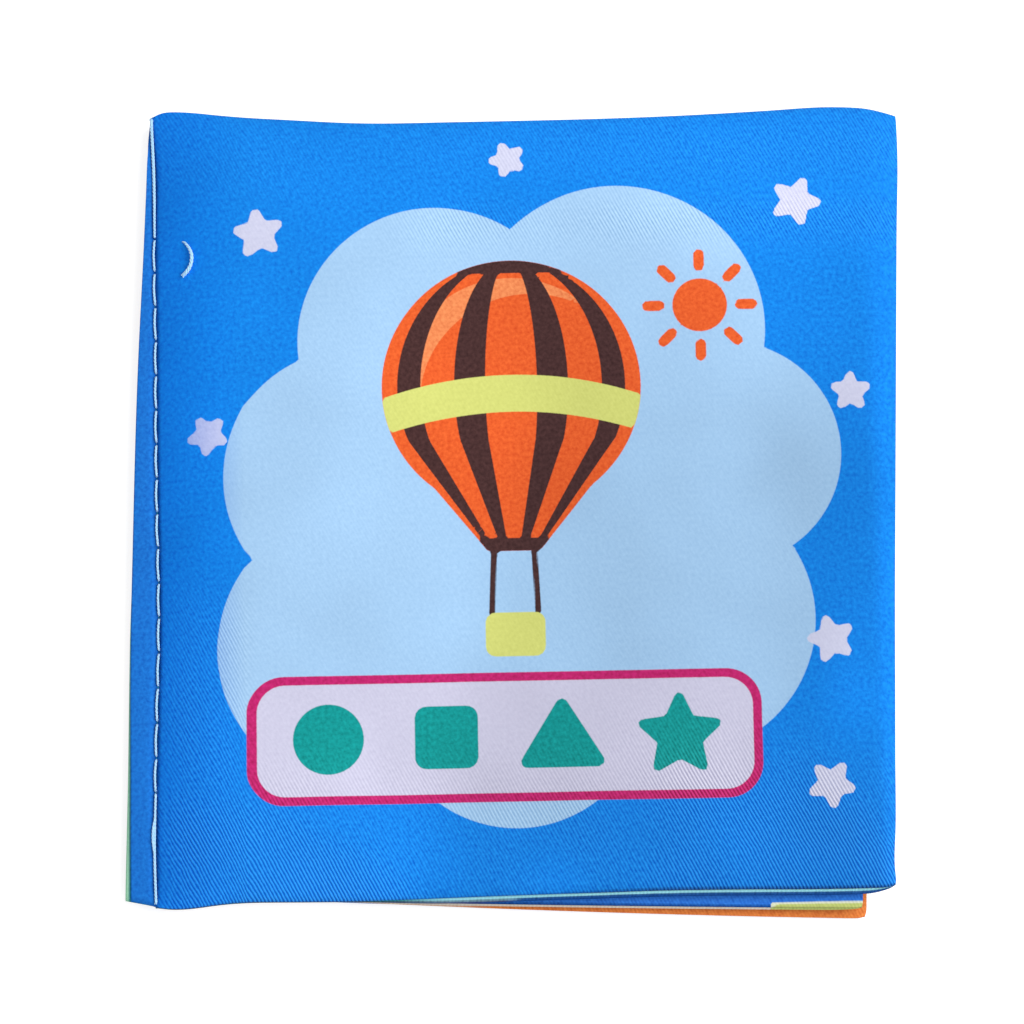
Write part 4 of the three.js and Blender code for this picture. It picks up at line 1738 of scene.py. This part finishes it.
def carried_frames(line: Array) -> tuple[Array, Array]:
    """Carries two directions across a line along it with no twist.

    Args:
        line: Points of the line.

    Returns:
        For each point a sideways and an upward direction.
    """
    ahead = np.gradient(line, axis=0)
    ahead /= np.linalg.norm(ahead, axis=1)[:, None]
    side = np.cross(ahead[0], (0.0, 0.0, 1.0))
    sides = []
    for way in ahead:
        side = side - way * (side @ way)
        side = side / np.linalg.norm(side)
        sides.append(side)
    return np.array(sides), np.cross(np.array(sides), ahead)


@dataclass
class Studio:
    """Floor, soft light and camera of the photograph.

    Attributes:
        target: Point that the camera looks at, in metres.
        eye: Place of the camera.
        lens: Focal length on a 36 mm sensor.
        turn: Turn of the picture about the line of sight, in degrees.
        floor_glow: Light that the floor adds for the camera alone, up to white.
    """

    target: tuple[float, float, float] = (-0.000289, -0.001369, 0.008)
    eye: tuple[float, float, float] = (-0.002905, -0.14688, 0.69270)
    lens: float = 188.26
    turn: float = 1.03
    floor_glow: float = 0.72

    def build(self) -> None:
        """Sets up the whole studio."""
        scene = bpy.context.scene
        scene.view_settings.view_transform = "Standard"
        self.camera()
        self.floor()
        self.lights()

    def camera(self) -> None:
        """Places the camera at the photograph's view."""
        data = bpy.data.cameras.new("photo_camera")
        data.lens = self.lens
        data.sensor_width = 36.0
        data.clip_start, data.clip_end = 0.05, 10.0
        camera = add_object("photo_camera", data)
        back = (Vector(self.eye) - Vector(self.target)).normalized()
        angle = math.radians(self.turn)
        right = Vector((math.cos(angle), -math.sin(angle), 0.0))
        right = (right - back * right.dot(back)).normalized()
        up = back.cross(right)
        turned = Matrix((right, up, back)).transposed().to_4x4()
        camera.matrix_world = Matrix.Translation(Vector(self.eye)) @ turned
        bpy.context.scene.camera = camera

    def floor(self) -> None:
        """Lays a pale floor that shows white to the camera and keeps the book's shadow."""
        bm = bmesh.new()
        bmesh.ops.create_grid(bm, x_segments=1, y_segments=1, size=3.0)
        floor = mesh_object("floor", bm)
        wires = Wiring(bpy.data.materials.new("pale_floor"))
        camera, glossy, through = (
            wires.add("LightPath", out=ray)
            for ray in ("Is Camera Ray", "Is Glossy Ray", "Is Transmission Ray")
        )
        seen = wires.add("Math", {0: camera, 1: glossy}, operation="MAXIMUM")
        seen = wires.add("Math", {0: seen, 1: through}, operation="MAXIMUM")
        seen = wires.add("Math", {0: seen, 1: self.floor_glow}, operation="MULTIPLY")
        card = wires.add("BsdfDiffuse", {"Color": linear("#c8c8c8")})
        glow = wires.add("Emission", {"Strength": seen})
        wires.add("OutputMaterial", {"Surface": wires.add("AddShader", {0: card, 1: glow})}, None)
        floor.data.materials.append(wires.owner)

    def lights(self) -> None:
        """Lights the book softly from above, a little from the fore edge and the head."""
        wires = Wiring(bpy.data.worlds.new("studio_world"))
        camera = wires.add("LightPath", out="Is Camera Ray")
        plain = wires.add("Background", {"Strength": 0.6})
        white = wires.add("Background", {"Strength": 1.25})
        shown = wires.add("MixShader", {0: camera, 1: plain, 2: white})
        wires.add("OutputWorld", {"Surface": shown}, None)
        bpy.context.scene.world = wires.owner
        self.softbox("key_softbox", (0.38, 0.08, 0.6), 0.5, 4.6)
        self.softbox("fill_softbox", (0.12, -0.6, 0.45), 0.6, 0.8)

    @staticmethod
    def softbox(name: str, place: tuple[float, float, float], size: float, power: float) -> None:
        """Adds a square soft light that faces the book.

        Args:
            name: Name of the light.
            place: Its place in metres.
            size: Side in metres.
            power: In watts.
        """
        data = bpy.data.lights.new(name, "AREA")
        data.size = size
        data.energy = power
        light = add_object(name, data)
        light.location = place
        light.rotation_mode = "QUATERNION"
        light.rotation_quaternion = (-Vector(place)).to_track_quat("-Z", "Y")


def straight_leaf_lines(
    head: tuple[float, float, float], foot: tuple[float, float, float], fore: tuple[float, float]
) -> tuple[MeasuredLine, MeasuredLine, MeasuredLine]:
    """Lines of a leaf whose edges are almost straight.

    Args:
        head: y at the spine, slant to the fore edge, and hollow between them.
        foot: y at the spine, slant to the fore edge, and bulge between them.
        fore: x at the foot, and slant to the head.

    Returns:
        The head edge and the foot edge over x, and the fore edge over y.
    """
    shares = [i / 8 for i in range(9)]
    head_line, foot_line = (
        MeasuredLine(tuple((s * LEAF_WIDE, at + slant * s - 4 * hollow * s * (1 - s)) for s in shares))
        for at, slant, hollow in (head, foot)
    )
    fore_line = MeasuredLine(tuple((s * SPINE_LONG, fore[0] + fore[1] * s) for s in shares))
    return head_line, foot_line, fore_line


@functools.cache
def back_cover_lines() -> tuple[MeasuredLine, MeasuredLine, MeasuredLine]:
    """The back cover's head, foot and fore edges."""
    return straight_leaf_lines((106.2, -4.5, 0.8), (2.45, -5.15, 0.5), (92.05, 4.9))


@functools.cache
def middle_leaf_lines() -> tuple[MeasuredLine, MeasuredLine, MeasuredLine]:
    """The middle leaf's head, foot and fore edges."""
    return straight_leaf_lines((105.8, -3.4, 0.8), (1.4, -3.1, 0.2), (91.4, 3.6))


@functools.cache
def cover_foot_line() -> MeasuredLine:
    """The front cover's foot edge over x."""
    return MeasuredLine(
        ((-0.2, 0.15), (2.4, -0.3), (5.4, -0.26), (8.4, 0.1), (18.0, 0.16), (25.0, 0.08), (32.0, 0.15),
         (40.0, 0.32), (50.5, 0.5), (58.3, 0.6), (65.0, 0.7), (71.2, 0.68), (76.0, 0.64), (82.4, 0.53),
         (88.0, 0.48), (92.0, 0.5), (94.4, 0.55), (96.4, 0.8))
    )


def make_leaves() -> list[PaddedLeaf]:
    """Sets out the three leaves.

    Returns:
        The leaves, the lowest first.
    """
    cover_head = MeasuredLine(
        ((-0.2, 106.3), (1.6, 106.95), (3.5, 106.8), (9.1, 105.85), (18.2, 105.05), (27.5, 104.4),
         (39.5, 104.3), (48.9, 104.3), (59.5, 104.35), (70.2, 104.55), (81.2, 104.95), (90.8, 105.3),
         (94.8, 105.0), (98.6, 103.95))
    )
    cover_fore = MeasuredLine(
        ((0.3, 95.75), (2.7, 95.45), (9.0, 95.75), (17.0, 95.95), (25.1, 96.2), (38.3, 96.6), (51.7, 97.1),
         (65.1, 97.6), (78.6, 98.1), (89.1, 98.5), (98.1, 98.9), (104.0, 98.85))
    )
    return [
        PaddedLeaf(
            Leaf("back_cover", 0, *back_cover_lines(), fore_lift=0.0, rim_droop=0.2, corner_radius=1.1,
                 foot_reach=-0.3, fore_reach=-0.3),
            "book_base", None,
            (("outer_panel", Prints.back(), "blue_cloth"),
             ("inner_panel", Prints.back_inside(), "orange_cloth")),
            Relief(1.7),
        ),
        PaddedLeaf(
            Leaf("middle_leaf", 1, *middle_leaf_lines(), fore_lift=0.4, rim_droop=0.5, corner_radius=0.7,
                 foot_reach=0.2),
            "middle_leaf", "book_base",
            (("back_panel", Prints.middle_back(), "pale_cloth"),
             ("front_panel", Prints.middle_front(), "indigo_cloth")),
            Relief(4.1),
        ),
        PaddedLeaf(
            Leaf("front_cover", 2, cover_head, cover_foot_line(), cover_fore, fore_lift=1.2, rim_droop=0.8,
                 corner_radius=0.9, head_corner=0.4, foot_reach=0.75),
            "front_cover", "middle_leaf",
            (("inner_panel", Prints.front_inside(), "green_blue_cloth"),
             ("outer_panel", Prints.front(), "blue_cloth")),
            Relief(9.2),
            step=3.2,
            upper_step=2.3,
        ),
    ]


def dress_carried_nodes() -> None:
    """Gives the CAD nodes that stay their material: the thread inside each leaf's edge."""
    thread = SewingThread("inner_seam_thread").material()
    for name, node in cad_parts.items():
        if not node.hide_render:
            node.data.materials.clear()
            node.data.materials.append(thread)
            log.info("carried over: %s", name)


def main() -> None:
    """Builds the studio and the book."""
    logging.basicConfig(level=logging.INFO, format="%(name)s: %(message)s")
    Studio().build()
    leaves = make_leaves()
    for padded_leaf in leaves:
        padded_leaf.build()
    Spine().build(leaves)
    stitching = Stitching()
    stitching.build()
    stitching.tack(leaves[2].leaf)
    dress_carried_nodes()


if __name__ == "__main__":
    main()
